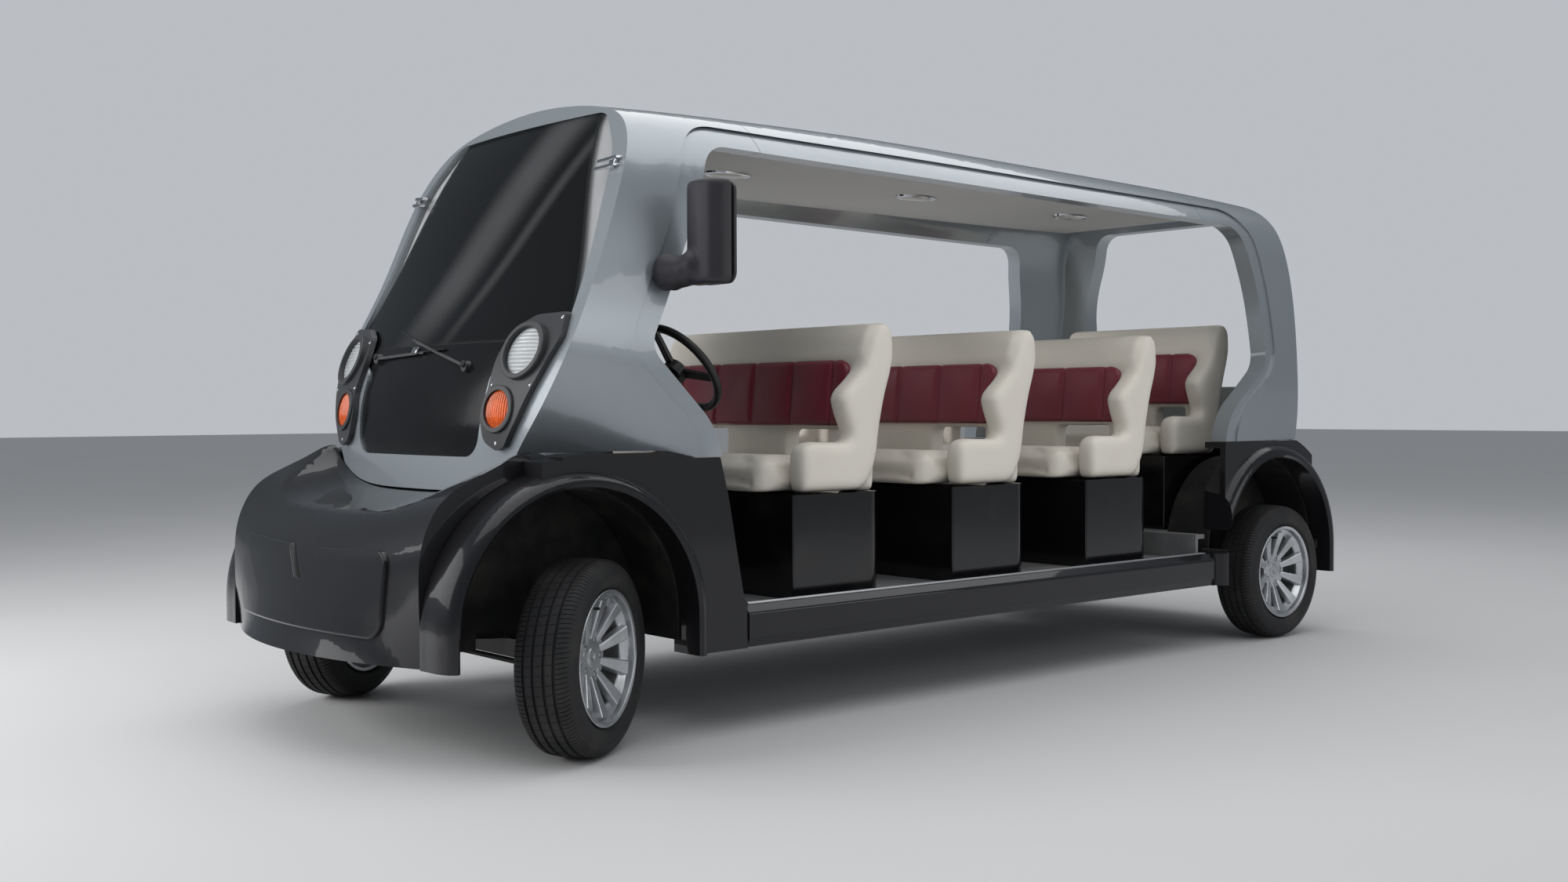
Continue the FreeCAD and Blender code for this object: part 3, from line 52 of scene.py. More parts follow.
# The camera stands off the car's front left corner, a metre above the ground, and looks along
# the car's diagonal through a moderately wide lens.
FRONT_AXLE = (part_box("front_axle")[0].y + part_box("front_axle")[1].y) / 2


def at(station):
    """Place along the car, measured back from the front axle in metres."""
    return FRONT_AXLE + station


camera_data = bpy.data.cameras.new("camera")
camera_data.lens, camera_data.sensor_width = 35.9, 36.0
camera = bpy.data.objects.new("camera", camera_data)
scene.collection.objects.link(camera)
heading, droop, roll = 0.854053, 0.020802, -0.003525     # radians
stand = Vector((4.5160, at(-2.5107), 1.0148))
ahead = Vector((-math.sin(heading) * math.cos(droop), math.cos(heading) * math.cos(droop), -math.sin(droop)))
right = Vector((math.cos(heading), math.sin(heading), 0))
over = right.cross(ahead)
turn = Matrix((right * math.cos(roll) + over * math.sin(roll),
               over * math.cos(roll) - right * math.sin(roll), -ahead)).transposed()
camera.matrix_world = Matrix.Translation(stand) @ turn.to_4x4()
camera_data.clip_end = 200
scene.camera = camera

# The studio is a plain pale floor under an even sky. A wide soft lamp hangs over the car, one
# stands at its side, and two stand at its nose: only the dimmer one of these shows in the paint.
scene.view_settings.view_transform = "Standard"


def loose(name, shape):
    """Makes an object of a drawn shape, with no place on the car yet."""
    data = bpy.data.meshes.new(name)
    shape.to_mesh(data)
    piece = bpy.data.objects.new(name, data)
    scene.collection.objects.link(piece)
    return piece


ground = bmesh.new()
bmesh.ops.create_grid(ground, x_segments=1, y_segments=1, size=60)
floor = loose("studio_floor", ground)

MIX_FIRST, MIX_SECOND, MIX_COLOUR = 6, 7, 2     # a Mix node's sockets for colours: two in, one out
world = bpy.data.worlds.new("studio")
scene.world = world
world.use_nodes = True
backing = world.node_tree.nodes["Background"]
backing.inputs["Strength"].default_value = 0.62
ray = world.node_tree.nodes.new("ShaderNodeLightPath")
choice = world.node_tree.nodes.new("ShaderNodeMix")
choice.data_type = "RGBA"
choice.inputs[MIX_FIRST].default_value = (0.80, 0.83, 0.88, 1)
choice.inputs[MIX_SECOND].default_value = (0.21, 0.235, 0.26, 1)
world.node_tree.links.new(ray.outputs["Is Glossy Ray"], choice.inputs[0])
world.node_tree.links.new(choice.outputs[MIX_COLOUR], backing.inputs["Color"])


def soft_lamp(name, power, size, place, aim):
    """Hangs a soft rectangular lamp at a place and turns it to what it lights."""
    data = bpy.data.lights.new(name, "AREA")
    data.shape = "RECTANGLE"
    data.size, data.size_y = size
    data.energy = power
    lamp = bpy.data.objects.new(name, data)
    lamp.location = place
    lamp.rotation_euler = (Vector(aim) - Vector(place)).to_track_quat("-Z", "Y").to_euler()
    scene.collection.objects.link(lamp)


soft_lamp("overhead_lamp", 480, (13, 9), (0.4, 0.2, 6.6), (0, 0, 0.8))
soft_lamp("side_lamp", 70, (6, 2.6), (6.5, 2.4, 2.4), (0, 0.3, 1.0))
soft_lamp("nose_lamp", 270, (4.4, 2.4), (-2.2, -6.4, 2.9), (0, -1.8, 1.1))
soft_lamp("nose_card", 80, (5.2, 2.8), (-2.2, -6.5, 2.9), (0, -1.8, 1.1))
bpy.data.objects["nose_lamp"].visible_glossy = False


# Every finish is built from the same few shader nodes. A flow is one socket of a finish, so
# that the sums behind a colour or a roughness read as plain arithmetic.
class Flow:
    def __init__(self, tree, socket=None):
        self.tree, self.socket = tree, socket

    def node(self, kind, settings, values, out=0):
        """Adds a node, sets it and feeds its sockets; gives back the flow that leaves it."""
        made = self.tree.nodes.new(kind)
        for setting, value in settings.items():
            setattr(made, setting, value)
        for key, value in values.items():
            if isinstance(value, Flow):
                self.tree.links.new(value.socket, made.inputs[key])
            else:
                made.inputs[key].default_value = value
        return Flow(self.tree, made.outputs[out])

    def maths(self, operation, first, second=0.0):
        return self.node("ShaderNodeMath", {"operation": operation}, {0: first, 1: second})

    def __add__(self, other):
        return self.maths("ADD", self, other)

    def __sub__(self, other):
        return self.maths("SUBTRACT", self, other)

    def __rsub__(self, other):
        return self.maths("SUBTRACT", other, self)

    def __mul__(self, other):
        return self.maths("MULTIPLY", self, other)

    def __abs__(self):
        return self.maths("ABSOLUTE", self)

    def wave(self):
        return self.maths("SINE", self)

    def between(self, low, high):
        """0 below low, 1 above high, and an eased step from one to the other."""
        return self.node("ShaderNodeMapRange", {"interpolation_type": "SMOOTHSTEP"},
                         {0: self, 1: low, 2: high})

    def tint(self, first, second):
        """The first colour where this is 0, the second where it is 1."""
        colours = {MIX_FIRST: first if isinstance(first, Flow) else (*first, 1),
                   MIX_SECOND: second if isinstance(second, Flow) else (*second, 1)}
        return self.node("ShaderNodeMix", {"data_type": "RGBA"}, {0: self, **colours}, out=MIX_COLOUR)

    def noise(self, scale, detail=2.0):
        return self.node("ShaderNodeTexNoise", {}, {"Vector": self, "Scale": scale, "Detail": detail})

    def cells(self, scale):
        return self.node("ShaderNodeTexVoronoi", {"feature": "F1"}, {"Vector": self, "Scale": scale})

    def axis(self, index):
        return self.node("ShaderNodeSeparateXYZ", {}, {"Vector": self}, out=index)

    def bump(self, strength, distance):
        return self.node("ShaderNodeBump", {}, {"Strength": strength, "Distance": distance, "Height": self})


class Finish:
    """A named material: fixed numbers go on its shader, and flows are linked to it."""

    def __init__(self, name, **sockets):
        self.material = bpy.data.materials.new(name)
        self.material.use_nodes = True
        self.tree = self.material.node_tree
        self.shader = self.tree.nodes["Principled BSDF"]
        self.place = Flow(self.tree).node("ShaderNodeTexCoord", {}, {}, out="Object")
        self.set(**sockets)

    def set(self, **sockets):
        for name, value in sockets.items():
            socket = self.shader.inputs[name.replace("_", " ")]
            if isinstance(value, Flow):
                self.tree.links.new(value.socket, socket)
            else:
                socket.default_value = value

    def mottled(self, scale, detail, low, high, spread, rough):
        """A cloudy colour between two near ones, with a roughness that goes with it."""
        cloud = self.place.noise(scale, detail)
        self.set(Base_Color=cloud.tint(low, high), Roughness=cloud * spread + rough)
        return cloud


floor_finish = Finish("studio_floor", Roughness=0.7)
haze = floor_finish.place.noise(0.6)
floor_finish.set(Base_Color=haze.tint((0.44, 0.44, 0.44), (0.48, 0.48, 0.48)))
floor.data.materials.append(floor_finish.material)

# The canopy body is moulded glass-fibre in three pieces, cowl, roof and rear hoop, sprayed
# metallic silver under clear coat. Each is welded so that the gloss runs over its curves.
silver = Finish("silver_paint", Metallic=0.55, Coat_Weight=1.0, Coat_Roughness=0.03, Coat_IOR=1.5)
flake = silver.place.noise(2600, 0)
cloud = silver.place.noise(1.4, 1)
silver.set(Base_Color=(cloud * 0.6 + flake * 0.4).tint((0.27, 0.305, 0.33), (0.36, 0.395, 0.42)),
           Roughness=flake * 0.10 + 0.27)
WELD = 2e-5     # closer than this, two corners of a CAD mesh are one


def place_piece(name, data, body, finish):
    """Puts a mesh on the car: its finish, the body that it moves with and its colour slot."""
    data.materials.clear()
    data.materials.append(finish.material)
    piece = bpy.data.objects.new(name, data)
    scene.collection.objects.link(piece)
    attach(piece, body)
    return piece


def shaded(shape, crease):
    """Smooth shading all over, except across edges that bend by more than the crease angle."""
    for face in shape.faces:
        face.smooth = True
        face.material_index = 0
    for edge in shape.edges:
        edge.smooth = len(edge.link_faces) == 2 and edge.calc_face_angle(0) < math.radians(crease)


def welded(node, body, finish):
    """Copy of a CAD node with its facets joined and shaded smooth, creased at real edges."""
    shape = bmesh.new()
    shape.from_mesh(frame["nodes"][node].data)
    bmesh.ops.remove_doubles(shape, verts=shape.verts, dist=WELD)
    shaded(shape, 32)
    data = bpy.data.meshes.new(node + "_skin")
    shape.to_mesh(data)
    if "custom_normal" in data.attributes:
        data.attributes.remove(data.attributes["custom_normal"])
    piece = place_piece(node + "_skin", data, body, finish)
    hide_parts(node)
    evened = piece.modifiers.new("evened", "WEIGHTED_NORMAL")
    evened.keep_sharp = True
    evened.weight = 90


for shell in ("front_cowl", "roof_shell", "rear_hoop"):
    welded(shell, "chassis", silver)

# The nose, the fenders and the tail are glass-fibre mouldings as well, bolted to the frame and
# sprayed in one colour, a dark graphite metallic under the same clear coat.
graphite = Finish("graphite_paint", Metallic=0.35, Coat_Weight=1.0, Coat_Roughness=0.03, Coat_IOR=1.33,
                  Specular_IOR_Level=0.2)
graphite.mottled(2600, 0, (0.007, 0.007, 0.008), (0.024, 0.024, 0.027), 0.08, 0.26)
for shell in ("front_bumper", "front_fenders", "rear_fenders", "rear_bumper"):
    welded(shell, "chassis", graphite)

# Each bench has a back shell whose ends wrap forward into wings and low bolsters. Foam on a
# moulded base is covered in cream leathercloth, with a sewn burgundy pad let into the back.
cream = Finish("seat_cream", Specular_IOR_Level=0.42)
grain = cream.place.cells(620.0)
mottle = cream.place.noise(9.0, 3)
handled = cream.place.noise(2.3, 2).between(0.42, 0.75)
cream.set(Base_Color=mottle.tint(handled.tint((0.70, 0.655, 0.575), (0.62, 0.575, 0.50)), (0.74, 0.70, 0.62)),
          Roughness=mottle * 0.12 + 0.42, Normal=(grain * 0.7 + mottle * 0.5).bump(0.25, 0.0006))
burgundy = Finish("seat_burgundy", Specular_IOR_Level=0.5)
grain = burgundy.place.cells(560.0)
mottle = burgundy.place.noise(7.0, 3)
burgundy.set(Base_Color=mottle.tint((0.160, 0.020, 0.031), (0.225, 0.036, 0.052)),
             Roughness=mottle * 0.12 + 0.28, Normal=(grain * 0.8 + mottle * 0.4).bump(0.3, 0.0007))
BENCHES = 4
BENCH_PITCH = 0.78
BENCH_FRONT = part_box("seat_bases")[0].y
BENCH_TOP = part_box("seat_cushions")[0].z
LAST_BENCH_LIFT = 0.075
WIDE_BENCH, NARROW_BENCH = 0.600, 0.440     # half widths; the last bench sits between the wheels
WING_THICK, WING_GAP = 0.092, 0.002
PAD_SEAM = 0.215


def eased(shape, edges, offset, segments):
    """Rounds off edges of a drawn shape."""
    bmesh.ops.bevel(shape, geom=edges, offset=offset, offset_type="OFFSET", segments=segments, profile=0.5,
                    affect="EDGES", clamp_overlap=True, material=-1)


def outline_prism(shape, corners, low, high, rim, along=0):
    """Adds a prism with rounded rims: corners lie across it and it runs from low to high."""
    def spot(across, level, reach):
        return [(reach, across, level), (across, reach, level), (across, level, reach)][along]
    ring = [shape.verts.new(spot(a, b, low)) for a, b in corners]
    face = shape.faces.new(ring)
    grown = bmesh.ops.extrude_face_region(shape, geom=[face])["geom"]
    moved = [v for v in grown if isinstance(v, bmesh.types.BMVert)]
    bmesh.ops.translate(shape, verts=moved, vec=spot(0, 0, high - low))
    far_rim = {e for v in moved for e in v.link_edges if e.other_vert(v) in moved}
    rims = list(set(face.edges) | far_rim)
    eased(shape, rims, rim, 3)


def applied(piece):
    """Gives a piece the mesh that its modifiers make, and clears them."""
    shown = piece.evaluated_get(bpy.context.evaluated_depsgraph_get())
    data = bpy.data.meshes.new_from_object(shown)
    piece.modifiers.clear()
    piece.data = data
    return piece


def foam(name, shape, voxel, passes):
    """Melts a few solids into one soft form: one skin over all, then eased at its corners."""
    bmesh.ops.recalc_face_normals(shape, faces=shape.faces)
    piece = loose(name, shape)
    skin = piece.modifiers.new("skin", "REMESH")
    skin.mode, skin.voxel_size = "VOXEL", voxel
    applied(piece)
    soft = bmesh.new()
    soft.from_mesh(piece.data)
    for step in range(passes):
        bmesh.ops.smooth_vert(soft, verts=soft.verts, factor=0.5, use_axis_x=True, use_axis_y=True,
                              use_axis_z=True)
    for face in soft.faces:
        face.smooth = True
    soft.to_mesh(piece.data)
    return piece


def blown(piece, held, pressure, stiffness, frames, most):
    """Swells a cover by simulated air, held at some corners; no corner moves further than most."""
    start = [v.co.copy() for v in piece.data.vertices]
    piece.vertex_groups.new(name="held").add(held, 1.0, "REPLACE")
    cloth = piece.modifiers.new("cover", "CLOTH").settings
    cloth.quality = 6
    cloth.use_pressure = True
    cloth.uniform_pressure_force = pressure
    cloth.tension_stiffness = cloth.compression_stiffness = stiffness
    cloth.vertex_group_mass = "held"
    cloth.effector_weights.gravity = 0
    for frame_number in range(1, frames + 1):
        scene.frame_set(frame_number)
    applied(piece)
    scene.frame_set(1)
    for vertex, rest in zip(piece.data.vertices, start):
        push = vertex.co - rest
        if push.length > most:
            vertex.co = rest + push.normalized() * most


def rounded_end(along, reach, wide, radius):
    """Draws a place across a block's width into its rounded corner, reach past the corner's start."""
    start = wide - 2 * radius
    if reach <= 0 or abs(along) <= start:
        return along
    corner = wide - radius + math.sqrt(max(radius * radius - reach * reach, 0))
    return math.copysign(start + (abs(along) - start) * (corner - start) / (wide - start), along)


def back_shell(half):
    """Bench back at the origin: y runs back from the base's front, z up from the base's top."""
    shape = bmesh.new()
    for side in (-1, 1):
        end = [(0.345, 0.0), (0.352, 0.20), (0.43, 0.22), (0.42, 0.0)]
        outline_prism(shape, end, side * (half - 0.03), side * (half - 0.155), 0.012)
    wing = [(0.063, 0.004), (0.060, 0.05), (0.058, 0.11), (0.062, 0.145), (0.082, 0.168), (0.115, 0.176),
            (0.195, 0.173), (0.262, 0.172), (0.287, 0.186), (0.287, 0.212), (0.262, 0.265), (0.243, 0.322),
            (0.259, 0.352), (0.315, 0.397), (0.352, 0.433), (0.370, 0.480), (0.392, 0.540), (0.425, 0.585),
            (0.470, 0.594), (0.497, 0.560), (0.503, 0.475), (0.487, 0.410), (0.465, 0.350), (0.448, 0.290),
            (0.432, 0.220), (0.420, 0.140), (0.404, 0.084), (0.370, 0.030), (0.330, 0.004)]
    for side in (-1, 1):
        outline_prism(shape, wing, side * half, side * (half - WING_THICK), 0.030)
    band = [(0.352, 0.214), (0.358, 0.30), (0.366, 0.44), (0.357, 0.478), (0.378, 0.548), (0.412, 0.588),
            (0.452, 0.590), (0.484, 0.566), (0.492, 0.48), (0.462, 0.32), (0.440, 0.214)]
    outline_prism(shape, band, -half + 0.03, half - 0.03, 0.012)
    column = [(0.338, 0.0), (0.346, 0.10), (0.350, 0.24), (0.430, 0.24), (0.424, 0.0)]
    reach = 0.175 * half / WIDE_BENCH
    outline_prism(shape, column, -reach, reach, 0.014)
    return foam("bench_back", shape, 0.0085, 9)


back_wide, back_narrow = back_shell(WIDE_BENCH), back_shell(NARROW_BENCH)


def cushion_block(half, quick_look):
    """Seat cushion: a foam block blown up a little by simulated air, held flat underneath."""
    shape = bmesh.new()
    profile = [(-0.046, 0.006), (-0.054, 0.05), (-0.048, 0.092), (-0.015, 0.112), (0.06, 0.118),
               (0.20, 0.112), (0.318, 0.104), (0.324, 0.05), (0.322, 0.006)]
    wide, front, corner, slack = half - WING_THICK - WING_GAP, -0.054, 0.085, 0.006
    outline_prism(shape, profile, slack - wide, wide - slack, 0.016)
    piece = foam("bench_cushion", shape, 0.011, 4)
    for vertex in piece.data.vertices:
        vertex.co.x = rounded_end(vertex.co.x, front + corner - vertex.co.y, wide, corner)
    if not quick_look:
        underside = [v.index for v in piece.data.vertices if v.co.z < 0.02]
        blown(piece, underside, 4.0, 15, 18, 0.014)
    return piece


cushion_wide = cushion_block(WIDE_BENCH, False)
cushion_narrow = cushion_block(NARROW_BENCH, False)


def sewn_pad(half, quick_look):
    """Let-in pad: channels sewn at even spacing, each swelled by simulated air between seams."""
    wide, low, high, front, deep = half - 0.084, 0.228, 0.463, 0.326, 0.03
    columns = round(wide / 0.0107)
    shape = bmesh.new()
    bmesh.ops.create_grid(shape, x_segments=2 * columns, y_segments=22, size=1.0)
    for vertex in shape.verts:
        x, z = vertex.co.x * wide, low + (high - low) * (vertex.co.y + 1) / 2
        for radius, past in ((0.055, z - high), (0.030, low - z)):
            x = rounded_end(x, past + radius, wide, radius)
        vertex.co = Vector((x, front, z))
    around = [v for v in shape.verts if v.is_boundary]
    grown = bmesh.ops.extrude_face_region(shape, geom=list(shape.faces))["geom"]
    back = [v for v in grown if isinstance(v, bmesh.types.BMVert)]
    bmesh.ops.translate(shape, verts=back, vec=(0, deep, 0))
    bmesh.ops.recalc_face_normals(shape, faces=shape.faces)
    shape.verts.index_update()
    behind, edge = {v.index for v in back}, {v.index for v in around}
    seams = set()
    for vertex in shape.verts:
        off_seam = abs(vertex.co.x - round(vertex.co.x / PAD_SEAM) * PAD_SEAM)
        if off_seam < 0.0054 and abs(vertex.co.x) < wide - 0.03:
            seams.add(vertex.index)
    piece = loose("bench_pad", shape)
    if not quick_look:
        blown(piece, sorted(behind | seams | edge), 26.0, 8, 20, 0.020)
    seam_deep, edge_deep, lean_back = 0.010, 0.012, 0.10
    for vertex in piece.data.vertices:
        if vertex.index in seams and vertex.index not in behind:
            vertex.co.y += seam_deep
        if vertex.index in edge:
            vertex.co.y += edge_deep
        vertex.co.y += (vertex.co.z - low) * lean_back
    finer = piece.modifiers.new("finer", "SUBSURF")
    finer.levels = finer.render_levels = 1
    applied(piece)
    for polygon in piece.data.polygons:
        polygon.use_smooth = True
    return piece


pad_wide, pad_narrow = sewn_pad(WIDE_BENCH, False), sewn_pad(NARROW_BENCH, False)

for bench in range(BENCHES):
    last = bench == BENCHES - 1
    shift = Vector((0, BENCH_FRONT + bench * BENCH_PITCH, BENCH_TOP + (LAST_BENCH_LIFT if last else 0)))
    for wide, narrow, name, node, slot, finish, fill in (
            (back_wide, back_narrow, "bench_back", "seat_shells", "seat_cream", cream, 0.9),
            (cushion_wide, cushion_narrow, "bench_cushion", "seat_cushions", "seat_cream", cream, 0.8),
            (pad_wide, pad_narrow, "bench_pad", "seat_pads", "seat_burgundy", burgundy, 0.8)):
        data = (narrow if last else wide).data.copy()
        data.transform(Matrix.Translation(shift))
        piece = place_piece(f"{name}_{bench + 1}", data, "chassis", finish)
        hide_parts(node)
for pattern in (back_wide, back_narrow, cushion_wide, cushion_narrow, pad_wide, pad_narrow):
    bpy.data.objects.remove(pattern)

# The tyres are radials with four straight grooves, sipes across the ribs and open shoulders.
# One pitch of the pattern is drawn and then repeated all the way round.
rubber = Finish("tyre", Specular_IOR_Level=0.35)
dust = rubber.place.noise(7.0, 4)
worn = rubber.place.noise(140.0, 2)
rubber.set(Base_Color=dust.between(0.45, 0.75).tint((0.014, 0.014, 0.015), (0.030, 0.029, 0.027)),
           Roughness=dust * 0.25 + 0.52, Normal=worn.bump(0.25, 0.0004))
tyre_low, tyre_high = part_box("tyre_rear_left")
HALF_TYRE = (tyre_high.x - tyre_low.x) / 2
TYRE_REACH = (tyre_high.z - tyre_low.z) / 2
PITCHES = 64
GROOVES = (-0.046, -0.0165, 0.0165, 0.046)


def tyre_section():
    """Points across one tyre as (x, radius, kind), from the inner bead to the outer one."""
    wall = [(0.030, 0.1935), (0.019, 0.1935), (0.0155, 0.2012), (0.006, 0.209), (0.0035, 0.2105),
            (0.0035, 0.2125), (0.0012, 0.2150), (0.0005, 0.228), (0, 0.240), (0.0008, 0.2415),
            (0.0008, 0.2440), (0, 0.2455), (0.003, 0.256), (0.0075, 0.266)]
    shoulder = [(0.0095, 0.2715), (0.0135, 0.2765), (0.019, 0.2815), (0.026, 0.2852)]
    side = [(HALF_TYRE - inset, r, "wall") for inset, r in wall]
    side += [(HALF_TYRE - inset, r, "shoulder") for inset, r in shoulder]
    edge, groove_deep, crown = HALF_TYRE - 0.0285, 0.0068, 0.0042
    lips = (0.0048, 0.0036, -0.0036, -0.0048)
    stops = [edge] + [groove + lip for groove in reversed(GROOVES) for lip in lips] + [-edge]
    tread = []
    for index, x in enumerate(stops):
        radius = TYRE_REACH - crown * (x / edge) ** 2
        if index % 4 in (2, 3) and index < len(stops) - 1:
            tread.append((x, radius - groove_deep, "groove"))
        else:
            tread.append((x, radius, "shoulder" if abs(x) > abs(GROOVES[0]) else "rib"))
    return side + tread + [(-x, r, kind) for x, r, kind in reversed(side)]


def skinned(shape, rings):
    """Faces between rings of corners, each ring closed on itself."""
    for first, second in zip(rings, rings[1:]):
        ring = list(zip(first, second))
        for (a, b), (d, c) in zip(ring, ring[1:] + ring[:1]):
            shape.faces.new((a, b, c, d))


def tyre_mesh():
    """One pitch of the tread with its sipes slanted back from the middle, repeated all round."""
    shape = bmesh.new()
    turns = (0.0, 0.07, 0.09, 0.14, 0.16, 0.50, 0.57, 0.59, 0.64, 0.66, 1.0)
    sipes = {2: ("shoulder",), 3: ("shoulder",), 7: ("shoulder", "rib"), 8: ("shoulder", "rib")}
    sipe_deep = {"rib": 0.0016, "shoulder": 0.0036}
    rows = []
    for column, turn in enumerate(turns):
        row = []
        for x, radius, kind in tyre_section():
            share = x / HALF_TYRE
            slant = math.copysign(0.6, x) if kind == "wall" else 0.35 * share + 0.25 * share ** 2
            angle = (turn + slant) * math.tau / PITCHES
            reach = radius - (sipe_deep[kind] if kind in sipes.get(column, ()) else 0)
            row.append(shape.verts.new((x, reach * math.sin(angle), reach * math.cos(angle))))
        rows.append(row)
    skinned(shape, rows)
    bmesh.ops.spin(shape, geom=list(shape.verts) + list(shape.edges) + list(shape.faces), cent=(0, 0, 0),
                   axis=(-1, 0, 0), angle=math.tau * (PITCHES - 1) / PITCHES, steps=PITCHES - 1,
                   use_duplicate=True)
    bmesh.ops.remove_doubles(shape, verts=shape.verts, dist=1e-5)
    bmesh.ops.recalc_face_normals(shape, faces=shape.faces)
    shaded(shape, 30)
    data = bpy.data.meshes.new("tyre_pattern")
    shape.to_mesh(data)
    return data


def hinge(joint):
    """Axis and middle of one of the car's joints."""
    record = next(j for j in frame["record"]["behaviour"]["joints"] if j["name"] == joint)
    return Vector(record["axis"]), Vector(record["pos_m"])


def wheel_frame(joint):
    """Place of a wheel: x outwards along its axle, z up, from the joint that it spins on."""
    axle, middle = hinge(joint)
    outward = axle if middle.x > 0 else -axle
    up = Vector((0, 0, 1))
    return Matrix.Translation(middle) @ Matrix((outward, up.cross(outward), up)).transposed().to_4x4()


WHEELS = [(f"{end}_{side}", wheel_frame(f"spin_{end}_{side}"))
          for end in ("front", "rear") for side in ("left", "right")]
pattern = tyre_mesh()
for corner, place in WHEELS:
    data = pattern.copy()
    data.transform(place)
    piece = place_piece(f"tyre_{corner}_tread", data, f"wheel_{corner}", rubber)
    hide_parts(f"tyre_{corner}")

# The wheels are one-piece cast alloys, painted bright silver, each on five hexagon nuts round
# a plain pressed cap, with a rubber snap-in valve and a brake disc behind the spokes.
alloy = Finish("wheel_alloy", Metallic=0.85, Coat_Weight=0.6, Coat_Roughness=0.1)
cast = alloy.place.noise(1600.0, 1)
grime = alloy.place.noise(11.0, 3).between(0.40, 0.70)
alloy.set(Base_Color=grime.tint((0.58, 0.60, 0.62), (0.44, 0.45, 0.46)),
          Roughness=cast * 0.08 + grime * 0.10 + 0.24)
iron = Finish("brake_iron", Metallic=0.9)
iron.mottled(90.0, 2, (0.10, 0.095, 0.09), (0.19, 0.18, 0.17), 0.2, 0.38)


def lathe(shape, points, place, steps=32):
    """Turns (x, radius) points round the x axis of a place; ends on the axis are closed."""
    fresh = [shape.verts.new((x, 0, radius)) for x, radius in points]
    lines = [shape.edges.new(pair) for pair in zip(fresh, fresh[1:])]
    bmesh.ops.spin(shape, geom=fresh + lines, cent=(0, 0, 0), axis=(1, 0, 0), angle=math.tau,
                   steps=steps, use_merge=True)
    grown, reach = set(fresh), list(fresh)
    while reach:
        vertex = reach.pop()
        for edge in vertex.link_edges:
            other = edge.other_vert(vertex)
            if other not in grown:
                grown.add(other)
                reach.append(other)
    bmesh.ops.remove_doubles(shape, verts=list(grown), dist=1e-6)
    bmesh.ops.transform(shape, matrix=place, verts=[v for v in grown if v.is_valid])


def finished(name, shape, body, finish, crease=35, replaces=None):
    """Turns a drawn shape into a placed piece with smooth faces and true edges."""
    bmesh.ops.recalc_face_normals(shape, faces=shape.faces)
    shaded(shape, crease)
    data = bpy.data.meshes.new(name)
    shape.to_mesh(data)
    shape.free()
    piece = place_piece(name, data, body, finish)
    if replaces:
        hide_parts(replaces)


def hex_nut(shape, place, across, thick):
    """Hexagon with eased corners, its height along the x axis of its place."""
    turned = place @ Matrix.Rotation(math.pi / 2, 4, "Y")
    made = bmesh.ops.create_cone(shape, cap_ends=True, segments=6, radius1=across / 2, radius2=across / 2,
                                 depth=thick, matrix=turned)
    eased(shape, list({e for v in made["verts"] for e in v.link_edges}), across * 0.06, 2)


NUTS, NUT_CIRCLE, SPOKES = 5, 0.054, 10
for corner, place in WHEELS:
    body = f"wheel_{corner}"
    welded(f"rim_{corner}", body, alloy)
    shape = bmesh.new()
    for index in range(NUTS):
        turn = math.tau * index / NUTS
        hole = Matrix.Translation((0.024, NUT_CIRCLE * math.cos(turn), NUT_CIRCLE * math.sin(turn)))
        hex_nut(shape, place @ hole, 0.0165, 0.013)
    lathe(shape, [(0.0290, 0.0), (0.0335, 0.006), (0.0345, 0.018), (0.0335, 0.0275), (0.0300, 0.0305),
                  (0.0285, 0.0305), (0.0285, 0.0)], place)
    finished(f"wheel_nuts_{corner}", shape, body, alloy)
    shape = bmesh.new()
    between_spokes = Matrix.Rotation(math.tau / SPOKES / 2, 4, "X")
    lathe(shape, [(-0.012, 0.0), (-0.012, 0.0055), (0.004, 0.0048), (0.016, 0.0038), (0.017, 0.0045),
                  (0.025, 0.0045), (0.026, 0.0)],
          place @ between_spokes @ Matrix.Translation((0.052, 0, 0.158)), 12)
    finished(f"valve_{corner}", shape, body, rubber)
    shape = bmesh.new()
    lathe(shape, [(-0.030, 0.0445), (-0.030, 0.132), (-0.020, 0.134), (-0.018, 0.132), (-0.018, 0.078),
                  (-0.006, 0.074), (-0.006, 0.0445), (-0.030, 0.0445)], place, 48)
    finished(f"brake_disc_{corner}", shape, body, iron)

# The windscreen is laminated glass, smoked over most of its width and left clear along both
# edges, where the pale pillar linings show. Two slanting pale bands high on the smoked part are
# a painted reflection. A gloss black panel closes the nose under it, with a rubber strip between
# them.
glass = Finish("screen_glass", Specular_IOR_Level=0.22)
across, height = abs(glass.place.axis(0)), glass.place.axis(2)
SMOKE_SLOPE = 0.38     # how far the smoked part narrows for each metre up the glass
edge = (across + height * SMOKE_SLOPE).between(1.142, 1.156)
# Painted reflection: a wide and a narrow slanting pale band in the smoked glass's colour, fading out towards
# its bottom and broken up by noise; the same noise varies the roughness.
lean = glass.place.axis(0) - height * 0.62
broad, thin = abs(lean + 0.93), abs(lean + 0.70)
painted_reflection = broad.between(0.17, 0.02) * 0.8 + thin.between(0.05, 0.0) * 0.5
reflection_and_roughness_noise = glass.place.noise(2.6, 1)
painted_reflection = painted_reflection * height.between(1.05, 1.45) * (reflection_and_roughness_noise * 0.5 + 0.6)
smoke_and_reflection = painted_reflection.tint((0.0055, 0.006, 0.0065), (0.062, 0.063, 0.065))
glass.set(Base_Color=edge.tint(smoke_and_reflection, (0.05, 0.055, 0.055)), Alpha=0.97 - edge * 0.80,
          Roughness=reflection_and_roughness_noise.between(0.35, 0.65) * 0.05 + 0.03)
welded("windscreen", "chassis", glass)
gloss_black = Finish("gloss_black", Specular_IOR_Level=0.22)
